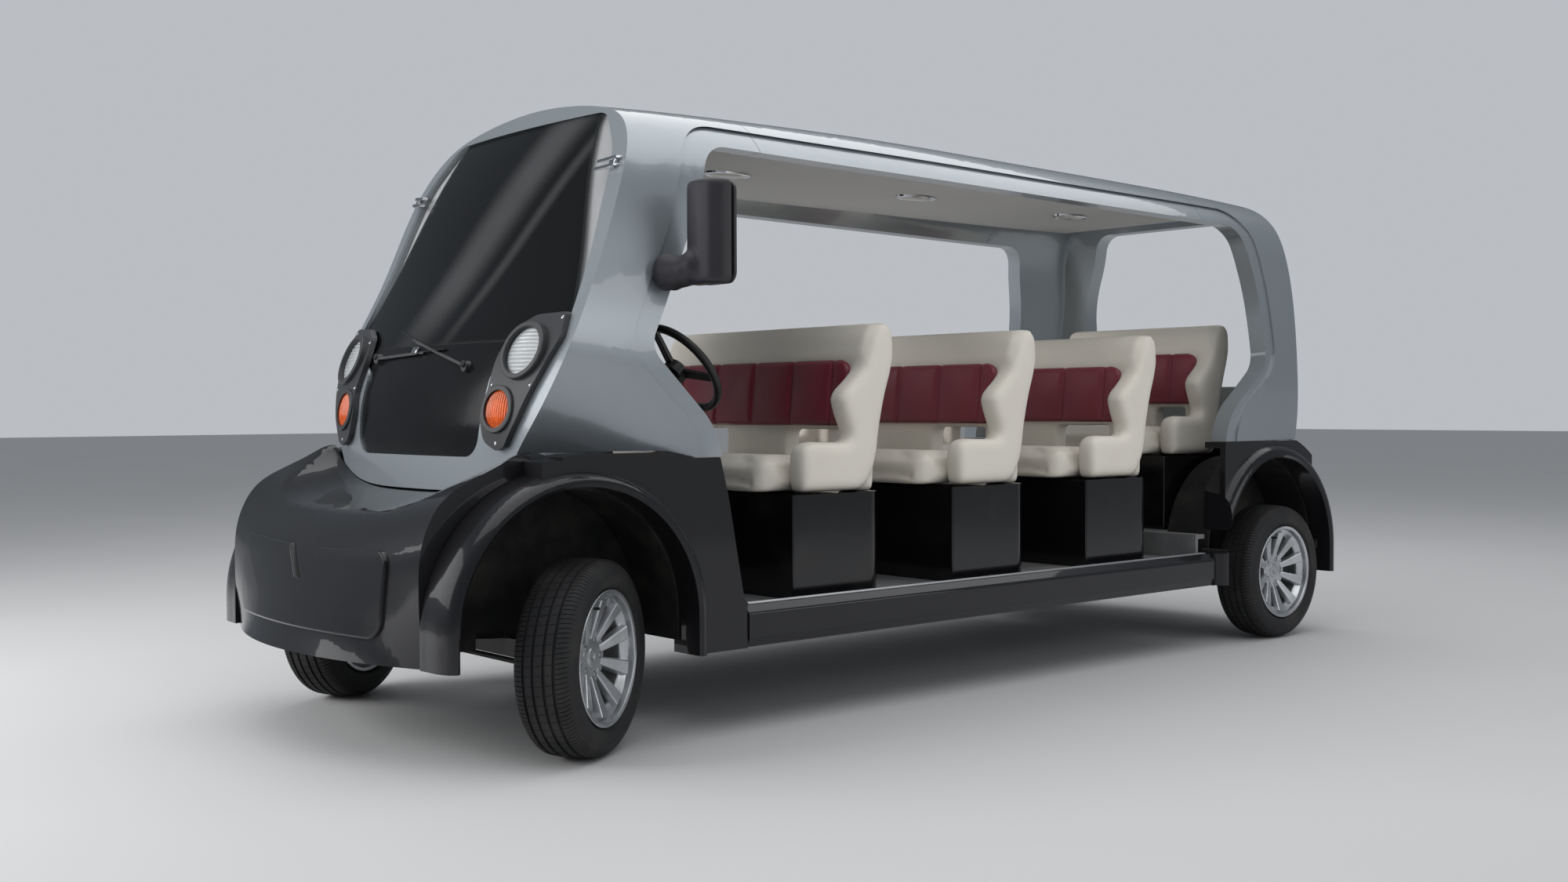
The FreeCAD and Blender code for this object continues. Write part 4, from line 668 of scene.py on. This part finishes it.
gloss_black.mottled(3.0, 2, (0.004, 0.004, 0.0045), (0.010, 0.010, 0.011), 0.10, 0.10)
welded("front_panel", "chassis", gloss_black)
trim_rubber = Finish("dark_panel_rubber", Specular_IOR_Level=0.4)
trim_rubber.mottled(300.0, 2, (0.010, 0.010, 0.011), (0.022, 0.022, 0.023), 0.2, 0.5)


def surface_of(node):
    """Surface of a CAD node, to lay trim on it."""
    shape = bmesh.new()
    shape.from_mesh(frame["nodes"][node].data)
    return BVHTree.FromBMesh(shape)


def met(surface, start, way):
    """Where a line from start meets a surface, and the way that the surface faces there."""
    return surface.ray_cast(Vector(start), Vector(way))[:2]


def from_ahead(surface, x, z):
    """Where a surface is first met by someone who looks back at it from ahead of the nose."""
    return met(surface, (x, at(-1.2), z), (0, 1, 0))


def swept(shape, path, profile, up=(0, 0, 1), closed=False):
    """Runs a closed profile of (side, up) points along a path of places."""
    rings, count = [], len(path)
    for index, spot in enumerate(path):
        before = path[(index - 1) % count] if closed or index else spot
        after = path[(index + 1) % count] if closed or index < count - 1 else spot
        along = (Vector(after) - Vector(before)).normalized()
        side = along.cross(Vector(up)).normalized()
        rise = side.cross(along)
        rings.append([shape.verts.new(Vector(spot) + side * a + rise * b) for a, b in profile])
    skinned(shape, rings + rings[:1] if closed else rings)
    if not closed:
        shape.faces.new(rings[0])
        shape.faces.new(list(reversed(rings[-1])))


screen, panel = surface_of("windscreen"), surface_of("front_panel")
screen_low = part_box("windscreen")[0].z
panel_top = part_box("front_panel")[1].z
shape = bmesh.new()
path = []
for step in range(-20, 21):
    x = 0.655 * step / 20
    spot, normal = from_ahead(screen, x, screen_low + 0.004)
    if spot:
        path.append((x, spot.y + 0.0035, (screen_low + panel_top) / 2))
swept(shape, path, [(-0.0035, -0.005), (0.0045, -0.005), (0.0045, 0.005), (-0.0035, 0.005)])
finished("screen_seal", shape, "chassis", trim_rubber)

lining = Finish("pillar_lining", Specular_IOR_Level=0.3)
lining.mottled(240.0, 2, (0.50, 0.50, 0.51), (0.58, 0.58, 0.59), 0.1, 0.55)
for number, side in ((1, -1), (2, 1)):
    shape = bmesh.new()
    shape.from_mesh(frame["nodes"]["windscreen"].data)
    bmesh.ops.remove_doubles(shape, verts=shape.verts, dist=WELD)
    cut = Vector((side, 0, SMOKE_SLOPE)).normalized()
    bmesh.ops.bisect_plane(shape, geom=list(shape.verts) + list(shape.edges) + list(shape.faces), dist=1e-6,
                           plane_co=(side * 0.530, 0, 1.5), plane_no=cut, clear_inner=True)
    bmesh.ops.holes_fill(shape, edges=[e for e in shape.edges if e.is_boundary], sides=0)
    bmesh.ops.translate(shape, verts=shape.verts, vec=(0, 0.016, -0.002))
    finished(f"pillar_lining_{number}", shape, "chassis", lining)

# Each front corner carries one black bezel with two round lamps set down in its collars: a
# ribbed clear headlamp over an amber indicator, each with a bright bowl and a bulb behind.
bezel_plastic = Finish("bezel_plastic", Coat_Weight=0.25, Coat_Roughness=0.25)
stipple = bezel_plastic.mottled(900.0, 1, (0.022, 0.023, 0.025), (0.040, 0.041, 0.044), 0.15, 0.34)
bezel_plastic.set(Normal=stipple.bump(0.2, 0.0003))
welded("lamp_bezels", "chassis", bezel_plastic)
chrome = Finish("bright_chrome", Metallic=1.0)
chrome.mottled(40.0, 2, (0.72, 0.73, 0.75), (0.80, 0.81, 0.82), 0.10, 0.08)
clear = Finish("lamp_lens", Transmission_Weight=0.45, IOR=1.46, Coat_Weight=0.5)
clear.mottled(30.0, 2, (0.50, 0.52, 0.53), (0.60, 0.62, 0.63), 0.08, 0.06)
amber = Finish("amber_lens", Transmission_Weight=0.45, IOR=1.46, Coat_Weight=0.6)
amber.mottled(30.0, 2, (0.62, 0.085, 0.006), (0.72, 0.13, 0.012), 0.1, 0.12)


def lamp_places(node):
    """Axis frames of the lamps in a node: x out through the lens, the way that its disc is thin."""
    places = []
    for side in (-1, 1):
        spots = numpy.array([v.co for v in frame["nodes"][node].data.vertices if v.co.x * side > 0])
        middle = (spots.min(axis=0) + spots.max(axis=0)) / 2
        for attempt in range(3):
            axis = numpy.linalg.svd(spots - middle)[2][2]
            axis = axis if axis[1] < 0 else -axis
            across = (spots - middle) - numpy.outer((spots - middle) @ axis, axis)
            edge = spots[numpy.linalg.norm(across, axis=1) > 0.98 * numpy.linalg.norm(across, axis=1).max()]
            middle = (edge.min(axis=0) + edge.max(axis=0)) / 2
        reach = (spots - middle) @ axis
        radius = float(numpy.linalg.norm(across, axis=1).max())
        axis, base = Vector(axis), Vector(middle + axis * reach.min())
        level = Vector((0, 0, 1)).cross(axis).normalized()
        turned = Matrix((axis, level, axis.cross(level))).transposed().to_4x4()
        places.append((Matrix.Translation(base) @ turned, radius, float(reach.max() - reach.min())))
    return places


def ribbed_lens(shape, place, radius, deep, ribs, upright):
    """Domed lens plate with moulded ribs across its face."""
    rows, columns, plain_rim = ribs * 6, 28, 0.93
    rib_high, dome, sunk, thick = 0.0020, 0.0064, 0.0022, 0.0115
    grid = []
    for j in range(rows + 1):
        b = radius * 0.998 * (2 * j / rows - 1)
        half = math.sqrt(max(radius * radius - b * b, 1e-6))
        line = []
        for i in range(columns + 1):
            a = half * (2 * i / columns - 1)
            share = (a * a + b * b) / (radius * radius)
            rib = rib_high * abs(math.sin(math.pi * ribs * (j / rows))) * (share < plain_rim)
            x = deep - dome * share - sunk + rib
            line.append(shape.verts.new((x, b, a) if upright else (x, a, b)))
        grid.append(line)
    faces = [shape.faces.new((p[i], p[i + 1], q[i + 1], q[i]))
             for p, q in zip(grid, grid[1:]) for i in range(columns)]
    border = {e for f in faces for e in f.edges if e.is_boundary}
    grown = bmesh.ops.extrude_edge_only(shape, edges=list(border))["geom"]
    back = [v for v in grown if isinstance(v, bmesh.types.BMVert)]
    for vertex in back:
        vertex.co.x = deep - thick
    closing = [e for e in grown if isinstance(e, bmesh.types.BMEdge) and e.is_boundary]
    bmesh.ops.holes_fill(shape, edges=closing, sides=0)
    bmesh.ops.transform(shape, matrix=place, verts=[v for line in grid for v in line] + back)


for node, slot, finish, ribs, upright, label in (
        ("headlamp_lenses", "lamp_lens", clear, 12, False, "headlamp"),
        ("indicator_lenses", "amber_lens", amber, 11, True, "indicator")):
    for index, (place, radius, deep) in enumerate(lamp_places(node)):
        shape = bmesh.new()
        ribbed_lens(shape, place, radius, deep, ribs, upright)
        finished(f"{label}_lens_{index + 1}", shape, "chassis", finish, 50, node)
        shape = bmesh.new()
        bowl_rim = deep - 0.0125
        bowl = [(0.0005, 0.0), (0.0005, radius * 0.995), (bowl_rim, radius * 0.995),
                (bowl_rim, radius * 0.95), (0.0075, radius * 0.60), (0.0035, radius * 0.28), (0.0035, 0.0)]
        lathe(shape, bowl, place, 48)
        finished(f"{label}_bowl_{index + 1}", shape, "chassis", chrome)
        shape = bmesh.new()
        tip = min(deep - 0.013, 0.017)
        bulb = [(0.0030, 0.0), (0.0030, 0.010), (tip - 0.003, 0.010), (tip, 0.005), (tip + 0.0005, 0.0)]
        lathe(shape, bulb, place, 20)
        finished(f"{label}_bulb_{index + 1}", shape, "chassis", finish)


def set_on(spot, facing, track="X"):
    """Place with one of its axes along a facing."""
    return Matrix.Translation(spot) @ facing.to_track_quat(track, "Z").to_matrix().to_4x4()


shape = bmesh.new()
bezel = surface_of("lamp_bezels")
for side in (-1, 1):
    for x, z in ((0.662, 1.283), (0.474, 1.245), (0.505, 0.915), (0.452, 1.088), (0.628, 1.085)):
        spot, normal = from_ahead(bezel, side * x, z)
        if spot:
            lathe(shape, [(-0.001, 0.0), (-0.001, 0.0062), (0.0016, 0.0056), (0.0030, 0.0030), (0.0032, 0.0)],
                  set_on(spot, normal), 16)
finished("bezel_screws", shape, "chassis", chrome)

# A chromed clip holds the glass near the top of each pillar. The two wipers are sprung arms on
# capped pivots with rubber blades, and a small bright clip sits where the blades meet.
welded("windscreen_clamps", "chassis", chrome)
arm_paint = Finish("wiper_black", Coat_Weight=0.3)
arm_paint.mottled(120.0, 2, (0.030, 0.030, 0.032), (0.060, 0.060, 0.062), 0.2, 0.30)
welded("wipers", "chassis", arm_paint)


def front_spot(x, z, proud):
    """Place that stands proud of the windscreen or the panel under it."""
    for skin in (screen, panel):
        spot, normal = from_ahead(skin, x, z)
        if spot:
            return spot + normal * proud, normal
    return None, None


def block(shape, place, size):
    """Adds a plain block and gives back its corners."""
    return bmesh.ops.create_cube(shape, size=1.0, matrix=place @ Matrix.Diagonal((*size, 1)))["verts"]


shape = bmesh.new()
for (x0, z0), (x1, z1) in (((0.257, 1.148), (-0.110, 1.234)), ((-0.370, 1.187), (-0.070, 1.197))):
    reach = Vector((x1 - x0, 0, z1 - z0)).normalized()
    middle = Vector((x1, 0, z1)) - reach * 0.015
    path = []
    for step in range(-6, 7):
        along = middle + reach * step * 0.030
        spot, normal = front_spot(along.x, along.z, 0.0065)
        if spot:
            path.append(spot)
    swept(shape, path, [(-0.0016, -0.006), (0.0016, -0.006), (0.0028, 0.000), (0.0012, 0.0045),
                        (-0.0012, 0.0045), (-0.0028, 0.000)], up=(0, -1, 0.3))
    lathe(shape, [(-0.006, 0.0), (-0.006, 0.0115), (0.000, 0.0115), (0.0025, 0.0085), (0.0035, 0.0)],
          set_on(*front_spot(x0, z0, 0.0225)), 20)
finished("wiper_blades", shape, "chassis", trim_rubber)
shape = bmesh.new()
block(shape, set_on(*front_spot(-0.082, 1.200, 0.014), "Y"), (0.036, 0.012, 0.022))
eased(shape, list(shape.edges), 0.0025, 2)
finished("wiper_clip", shape, "chassis", chrome)

# The mirrors are blown housings of grained black plastic, fat and round like a boxing glove,
# on a thick elbow that bolts through the pillar. The glass lies behind a rolled rim.
grained = Finish("dark_grain", Coat_Weight=0.15, Coat_Roughness=0.4)
leather = grained.place.cells(700.0)
grained.mottled(6.0, 2, (0.011, 0.010, 0.014), (0.024, 0.022, 0.028), 0.12, 0.40)
grained.set(Normal=leather.bump(0.35, 0.0006))
glass_low, glass_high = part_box("mirror_glasses")
pod_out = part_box("mirror_housings")[1]
POD_FOOT, POD_TOP = 1.384, 1.694
rear = glass_low.y - 0.0006
plan = [(0.779, rear), (0.781, rear - 0.030), (0.795, rear - 0.062), (0.828, rear - 0.078),
        (0.872, rear - 0.080), (0.912, rear - 0.068), (0.936, rear - 0.040), (0.944, rear)]
elbow = ((0.745, 0.306, 1.425, 0.040, 0.060), (0.775, 0.318, 1.421, 0.040, 0.055),
         (0.805, 0.330, 1.424, 0.040, 0.050), (0.832, 0.340, 1.436, 0.038, 0.052))
for number, side in ((1, -1), (2, 1)):
    shape = bmesh.new()
    outline_prism(shape, [(side * x, y) for x, y in plan], POD_FOOT, POD_TOP, 0.012, 2)
    for x, station, z, deep, tall in elbow:
        knob = Matrix.Translation((side * x, at(station), z)) @ Matrix.Diagonal((0.040, deep, tall, 1))
        bmesh.ops.create_uvsphere(shape, u_segments=24, v_segments=16, radius=1.0, matrix=knob)
    pod = foam("pod", shape, 0.006, 9)
    rolled = pod.data.copy()
    bpy.data.objects.remove(pod)
    for vertex in rolled.vertices:
        vertex.co.x = min(max(vertex.co.x, -pod_out.x), pod_out.x)
    piece = place_piece(f"mirror_shell_{number}", rolled, "chassis", grained)
    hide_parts("mirror_housings")
    shape = bmesh.new()
    x0, x1, z0, z1, r = 0.790, 0.942, glass_low.z, glass_high.z, 0.030
    ring = []
    for cx, cz, start in ((x1 - r, z1 - r, 0), (x0 + r, z1 - r, 90), (x0 + r, z0 + r, 180),
                          (x1 - r, z0 + r, 270)):
        for step in range(0, 91, 15):
            turn = math.radians(start + step)
            ring.append((side * (cx + r * math.cos(turn)), glass_low.y + 0.003, cz + r * math.sin(turn)))
    swept(shape, ring, [(-0.0045, -0.0045), (0.0035, -0.0045), (0.0045, 0.0), (0.0035, 0.0045),
                        (-0.0045, 0.0045)], up=(0, 1, 0), closed=True)
    finished(f"mirror_rim_{number}", shape, "chassis", grained)
silvered = Finish("mirror", Metallic=1.0)
silvered.mottled(14.0, 2, (0.80, 0.82, 0.83), (0.86, 0.87, 0.88), 0.04, 0.01)
welded("mirror_glasses", "chassis", silvered)

# The dash is a single grey moulding. The driver has a soft-grip wheel with a domed boss cap,
# and a hooded meter with three blank round dials on top of the dash.
dash = Finish("dash_grey", Specular_IOR_Level=0.45)
pebble = dash.place.cells(480.0)
dash.mottled(3.0, 2, (0.070, 0.072, 0.076), (0.105, 0.107, 0.112), 0.1, 0.52)
dash.set(Normal=pebble.bump(0.3, 0.0005))
welded("dashboard", "chassis", dash)
grip = Finish("wheel_grip", Specular_IOR_Level=0.5)
pore = grip.place.cells(900.0)
grip.mottled(14.0, 2, (0.010, 0.010, 0.011), (0.024, 0.023, 0.023), 0.16, 0.34)
grip.set(Normal=pore.bump(0.3, 0.0004))
welded("steering_wheel", "steering_wheel", grip)

column_axis, wheel_middle = hinge("steering_wheel_turn")
shape = bmesh.new()
lathe(shape, [(-0.0065, 0.0), (-0.0065, 0.0405), (-0.0010, 0.0400), (0.0040, 0.034), (0.0065, 0.018),
              (0.0070, 0.0)], set_on(wheel_middle, column_axis), 40)
finished("horn_cap", shape, "steering_wheel", arm_paint)

DRIVER = wheel_middle.x
spot, normal = met(surface_of("dashboard"), (DRIVER, at(0.19), 1.6), (0, 0, -1))
shape = bmesh.new()
corners = block(shape, Matrix.Translation(spot + Vector((0, 0, 0.012))), (0.250, 0.085, 0.060))
for vertex in corners:
    if vertex.co.z > spot.z + 0.02:
        vertex.co.x += (DRIVER - vertex.co.x) * 0.22
        vertex.co.y -= 0.012 if vertex.co.y < spot.y else -0.006
eased(shape, list(shape.edges), 0.010, 4)
finished("meter_hood", shape, "chassis", dash)
shape = bmesh.new()
for x, radius in ((0.292, 0.0215), (DRIVER, 0.0135), (0.378, 0.0215)):
    dial = Matrix.Translation((x, spot.y + 0.0405, spot.z + 0.012)) @ Matrix.Rotation(math.pi / 2, 4, "Z")
    lathe(shape, [(0.0, 0.0), (0.0, radius), (0.0030, radius), (0.0042, radius * 0.95),
                  (0.0030, radius * 0.90), (0.0014, radius * 0.88), (0.0014, 0.0)], dial, 32)
finished("meter_dials", shape, "chassis", gloss_black)

# The column jacket, pedals, bulkhead and the liners over the wheels are black parts: sheet
# steel in textured paint for the first two, rough moulded plastic for the rest.
powder = Finish("textured_black", Specular_IOR_Level=0.4)
orange = powder.place.noise(420.0, 3)
dusty = powder.place.noise(5.0, 3).between(0.45, 0.75)
powder.set(Base_Color=dusty.tint((0.014, 0.014, 0.015), (0.034, 0.032, 0.030)),
           Roughness=orange * 0.15 + 0.45, Normal=orange.bump(0.3, 0.0004))
liner = Finish("liner_black", Specular_IOR_Level=0.3)
splash = liner.place.noise(8.0, 4).between(0.42, 0.72)
fibre = liner.place.noise(260.0, 2)
liner.set(Base_Color=splash.tint((0.010, 0.010, 0.010), (0.030, 0.028, 0.025)), Roughness=fibre * 0.1 + 0.72,
          Normal=fibre.bump(0.4, 0.0006))
for node, finish in (("steering_column", powder), ("pedals", powder), ("front_bulkhead", liner),
                     ("wheel_housings", liner)):
    welded(node, "chassis", finish)
PAD_FOOT, PAD_RIB_STEP = 0.472, 0.0095
shape = bmesh.new()
for x, width in ((0.250, 0.042), (0.370, 0.066)):
    for rib in range(6):
        rib_place = Matrix.Translation((x, at(0.3140), PAD_FOOT + rib * PAD_RIB_STEP))
        block(shape, rib_place, (width, 0.005, 0.005))
eased(shape, list(shape.edges), 0.0012, 2)
finished("pedal_rubbers", shape, "chassis", trim_rubber)

# Boxes of gloss black board stand under the benches. The floor is grey ribbed rubber, and a
# drawn aluminium strip with five ribs caps each painted sill.
board = Finish("bench_board", Coat_Weight=0.8, Coat_Roughness=0.06, Coat_IOR=1.4, Specular_IOR_Level=0.3)
scuff = board.place.noise(5.0, 4).between(0.5, 0.8)
board.set(Base_Color=scuff.tint((0.005, 0.005, 0.006), (0.014, 0.0135, 0.013)), Roughness=scuff * 0.15 + 0.13)
welded("seat_bases", "chassis", board)
strip = Finish("aluminium_strip", Metallic=0.9)
drawn_out = {0: strip.place, 1: (300.0, 6.0, 300.0)}
drawn = strip.place.node("ShaderNodeVectorMath", {"operation": "MULTIPLY"}, drawn_out).noise(1.0)
strip.set(Base_Color=drawn.tint((0.50, 0.51, 0.52), (0.64, 0.65, 0.66)), Roughness=drawn * 0.15 + 0.26)
mat = Finish("floor_mat", Specular_IOR_Level=0.4)
tread = mat.place.noise(7.0, 4).between(0.35, 0.75)
speck = mat.place.noise(700.0, 1)
MAT_RIB_PITCH = 0.012
rib_wave = (mat.place.axis(0) * (math.tau / MAT_RIB_PITCH)).wave().between(-0.2, 0.6)
mat.set(Base_Color=(tread * 0.7 + speck * 0.3).tint((0.115, 0.118, 0.122), (0.205, 0.205, 0.202)),
        Roughness=tread * 0.2 + 0.45, Normal=rib_wave.bump(0.7, 0.0015))
welded("floor_deck", "chassis", mat)
welded("side_sills", "chassis", graphite)
sill_low, sill_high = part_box("side_sills")
shape = bmesh.new()
for side in (-1, 1):
    x = side * (sill_high.x - 0.042)
    profile = [(-0.014, 0.0), (0.014, 0.0), (0.013, 0.0016)]
    for rib in range(5):
        a = 0.010 - rib * 0.005
        profile += [(a + 0.0012, 0.0018), (a + 0.0008, 0.0030), (a - 0.0008, 0.0030), (a - 0.0012, 0.0018)]
    profile += [(-0.013, 0.0016)]
    swept(shape, [(x, sill_low.y + 0.02, sill_high.z), (x, sill_high.y - 0.02, sill_high.z)], profile)
finished("sill_strips", shape, "chassis", strip)

# The ceiling is a pale panel in pressed fibre, with three oval courtesy lamps screwed up along
# its middle, each a milky lens in a chromed ring.
felt = Finish("headliner", Specular_IOR_Level=0.2)
pile = felt.place.noise(900.0, 2)
drape = felt.place.noise(1.8, 2)
felt.set(Base_Color=drape.tint((0.54, 0.54, 0.525), (0.62, 0.62, 0.60)), Roughness=pile * 0.1 + 0.78,
         Normal=pile.bump(0.35, 0.0005))
welded("headliner", "chassis", felt)
milk = Finish("courtesy_lens", Transmission_Weight=0.25, Coat_Weight=0.4)
milk.mottled(60.0, 2, (0.74, 0.74, 0.72), (0.80, 0.80, 0.78), 0.1, 0.25)
ceiling = surface_of("headliner")
shape, rings = bmesh.new(), bmesh.new()
for station in (1.15, 2.15, 3.15):
    spot, normal = met(ceiling, (0, at(station), 1.5), (0, 0, 1))
    if spot:
        oval = Matrix.Rotation(math.pi / 2, 4, "Y") @ Matrix.Diagonal((1, 1.7, 1, 1))
        down = Matrix.Translation(spot) @ oval
        lathe(shape, [(-0.001, 0.0), (-0.001, 0.050), (0.006, 0.050), (0.013, 0.040), (0.017, 0.020),
                      (0.018, 0.0)], down, 40)
        lathe(rings, [(-0.001, 0.049), (0.007, 0.0505), (0.009, 0.055), (0.007, 0.060), (-0.001, 0.061),
                      (-0.001, 0.049)], down, 40)
finished("courtesy_lenses", shape, "chassis", milk)
finished("courtesy_rings", rings, "chassis", chrome)

# The tail carries a red stop lamp over an amber indicator on each side: round ribbed lenses,
# pressed into black rubber rings.
ruby = Finish("red_lens", Transmission_Weight=0.35, IOR=1.46, Coat_Weight=0.6)
ruby.mottled(30.0, 2, (0.42, 0.008, 0.008), (0.52, 0.016, 0.014), 0.1, 0.12)
tail = frame["nodes"]["tail_lamps"].data
shape, rings = {"red": bmesh.new(), "amber": bmesh.new()}, bmesh.new()
for side in (-1, 1):
    for z, radius, colour in ((0.650, 0.056, "red"), (0.515, 0.046, "amber")):
        spots = [v.co for v in tail.vertices if v.co.x * side > 0 and abs(v.co.z - z) < radius + 0.004]
        start = min(spot.y for spot in spots)
        deep = max(spot.y for spot in spots) - start
        back = Matrix.Translation((side * 0.520, start, z)) @ Matrix.Rotation(math.pi / 2, 4, "Z")
        seat = deep - 0.012
        lathe(rings, [(0, 0), (0, radius), (deep - 0.006, radius), (deep - 0.002, radius - 0.003),
                      (deep - 0.004, radius - 0.007), (seat, radius - 0.008), (seat, 0)], back, 48)
        ribbed_lens(shape[colour], back, radius - 0.0075, deep, 9, False)
finished("tail_lamp_rings", rings, "chassis", trim_rubber, replaces="tail_lamps")
finished("tail_lens_red", shape["red"], "chassis", ruby, 50, "tail_lamps")
finished("tail_lens_amber", shape["amber"], "chassis", amber, 50, "tail_lamps")

# Under the floor: a welded frame of painted channel, leaf springs on U-bolts, the steered
# axle, and a live rear axle with its finned electric motor, fed from two battery cases.
steel = Finish("chassis_steel", Specular_IOR_Level=0.4)
rust = steel.place.noise(9.0, 5).between(0.56, 0.78)
skin = steel.place.noise(180.0, 2)
steel.set(Base_Color=rust.tint((0.016, 0.016, 0.017), (0.060, 0.042, 0.030)),
          Roughness=rust * 0.25 + skin * 0.1 + 0.40, Normal=skin.bump(0.25, 0.0004))
for node, body in (("chassis_frame", "chassis"), ("front_axle", "chassis"), ("rear_axle", "chassis"),
                   ("leaf_springs", "chassis"), ("front_knuckle_left", "knuckle_left"),
                   ("front_knuckle_right", "knuckle_right"), ("tie_rod", "tie_rod")):
    welded(node, body, steel)
cast_metal = Finish("motor_metal", Metallic=0.7)
sand = cast_metal.place.noise(500.0, 2)
oil = cast_metal.place.noise(9.0, 3).between(0.45, 0.7)
cast_metal.set(Base_Color=oil.tint((0.34, 0.345, 0.35), (0.16, 0.155, 0.15)), Roughness=sand * 0.15 + 0.42,
               Normal=sand.bump(0.3, 0.0004))
motor_low, motor_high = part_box("drive_motor")
middle = (motor_low + motor_high) / 2
radius = (motor_high.x - motor_low.x) / 2
long = motor_high.y - motor_low.y
FINS, root = 11, radius * 0.88
points = [(0.0, 0.0), (0.0, radius * 0.72), (0.010, radius * 0.86), (0.034, root)]
for fin in range(FINS):
    x = 0.044 + fin * (long - 0.10) / (FINS - 1)
    points += [(x - 0.0028, root), (x - 0.0018, radius), (x + 0.0018, radius), (x + 0.0028, root)]
points += [(long - 0.034, radius * 0.93), (long - 0.008, radius * 0.93), (long, radius * 0.86), (long, 0.0)]
shape = bmesh.new()
front_end = Matrix.Translation((middle.x, motor_low.y, middle.z))
lathe(shape, points, front_end @ Matrix.Rotation(math.pi / 2, 4, "Z"), 56)
finished("motor_case", shape, "chassis", cast_metal, replaces="drive_motor")
case = Finish("battery_case", Specular_IOR_Level=0.4)
case.mottled(5.0, 3, (0.020, 0.021, 0.023), (0.042, 0.043, 0.046), 0.15, 0.5)
welded("battery_pack", "chassis", case)
WHEELBASE, SPRING_X, CLAMP_TOP = 3.65, 0.330, 0.353
shape = bmesh.new()
for spring in (-SPRING_X, SPRING_X):
    for axle in (at(0), at(WHEELBASE)):
        for x in (spring - 0.031, spring + 0.031):
            for y in (axle - 0.028, axle + 0.028):
                stud = Matrix.Translation((x, y, CLAMP_TOP)) @ Matrix.Rotation(math.pi / 2, 4, "Y")
                hex_nut(shape, stud, 0.018, 0.010)
finished("spring_nuts", shape, "chassis", cast_metal)
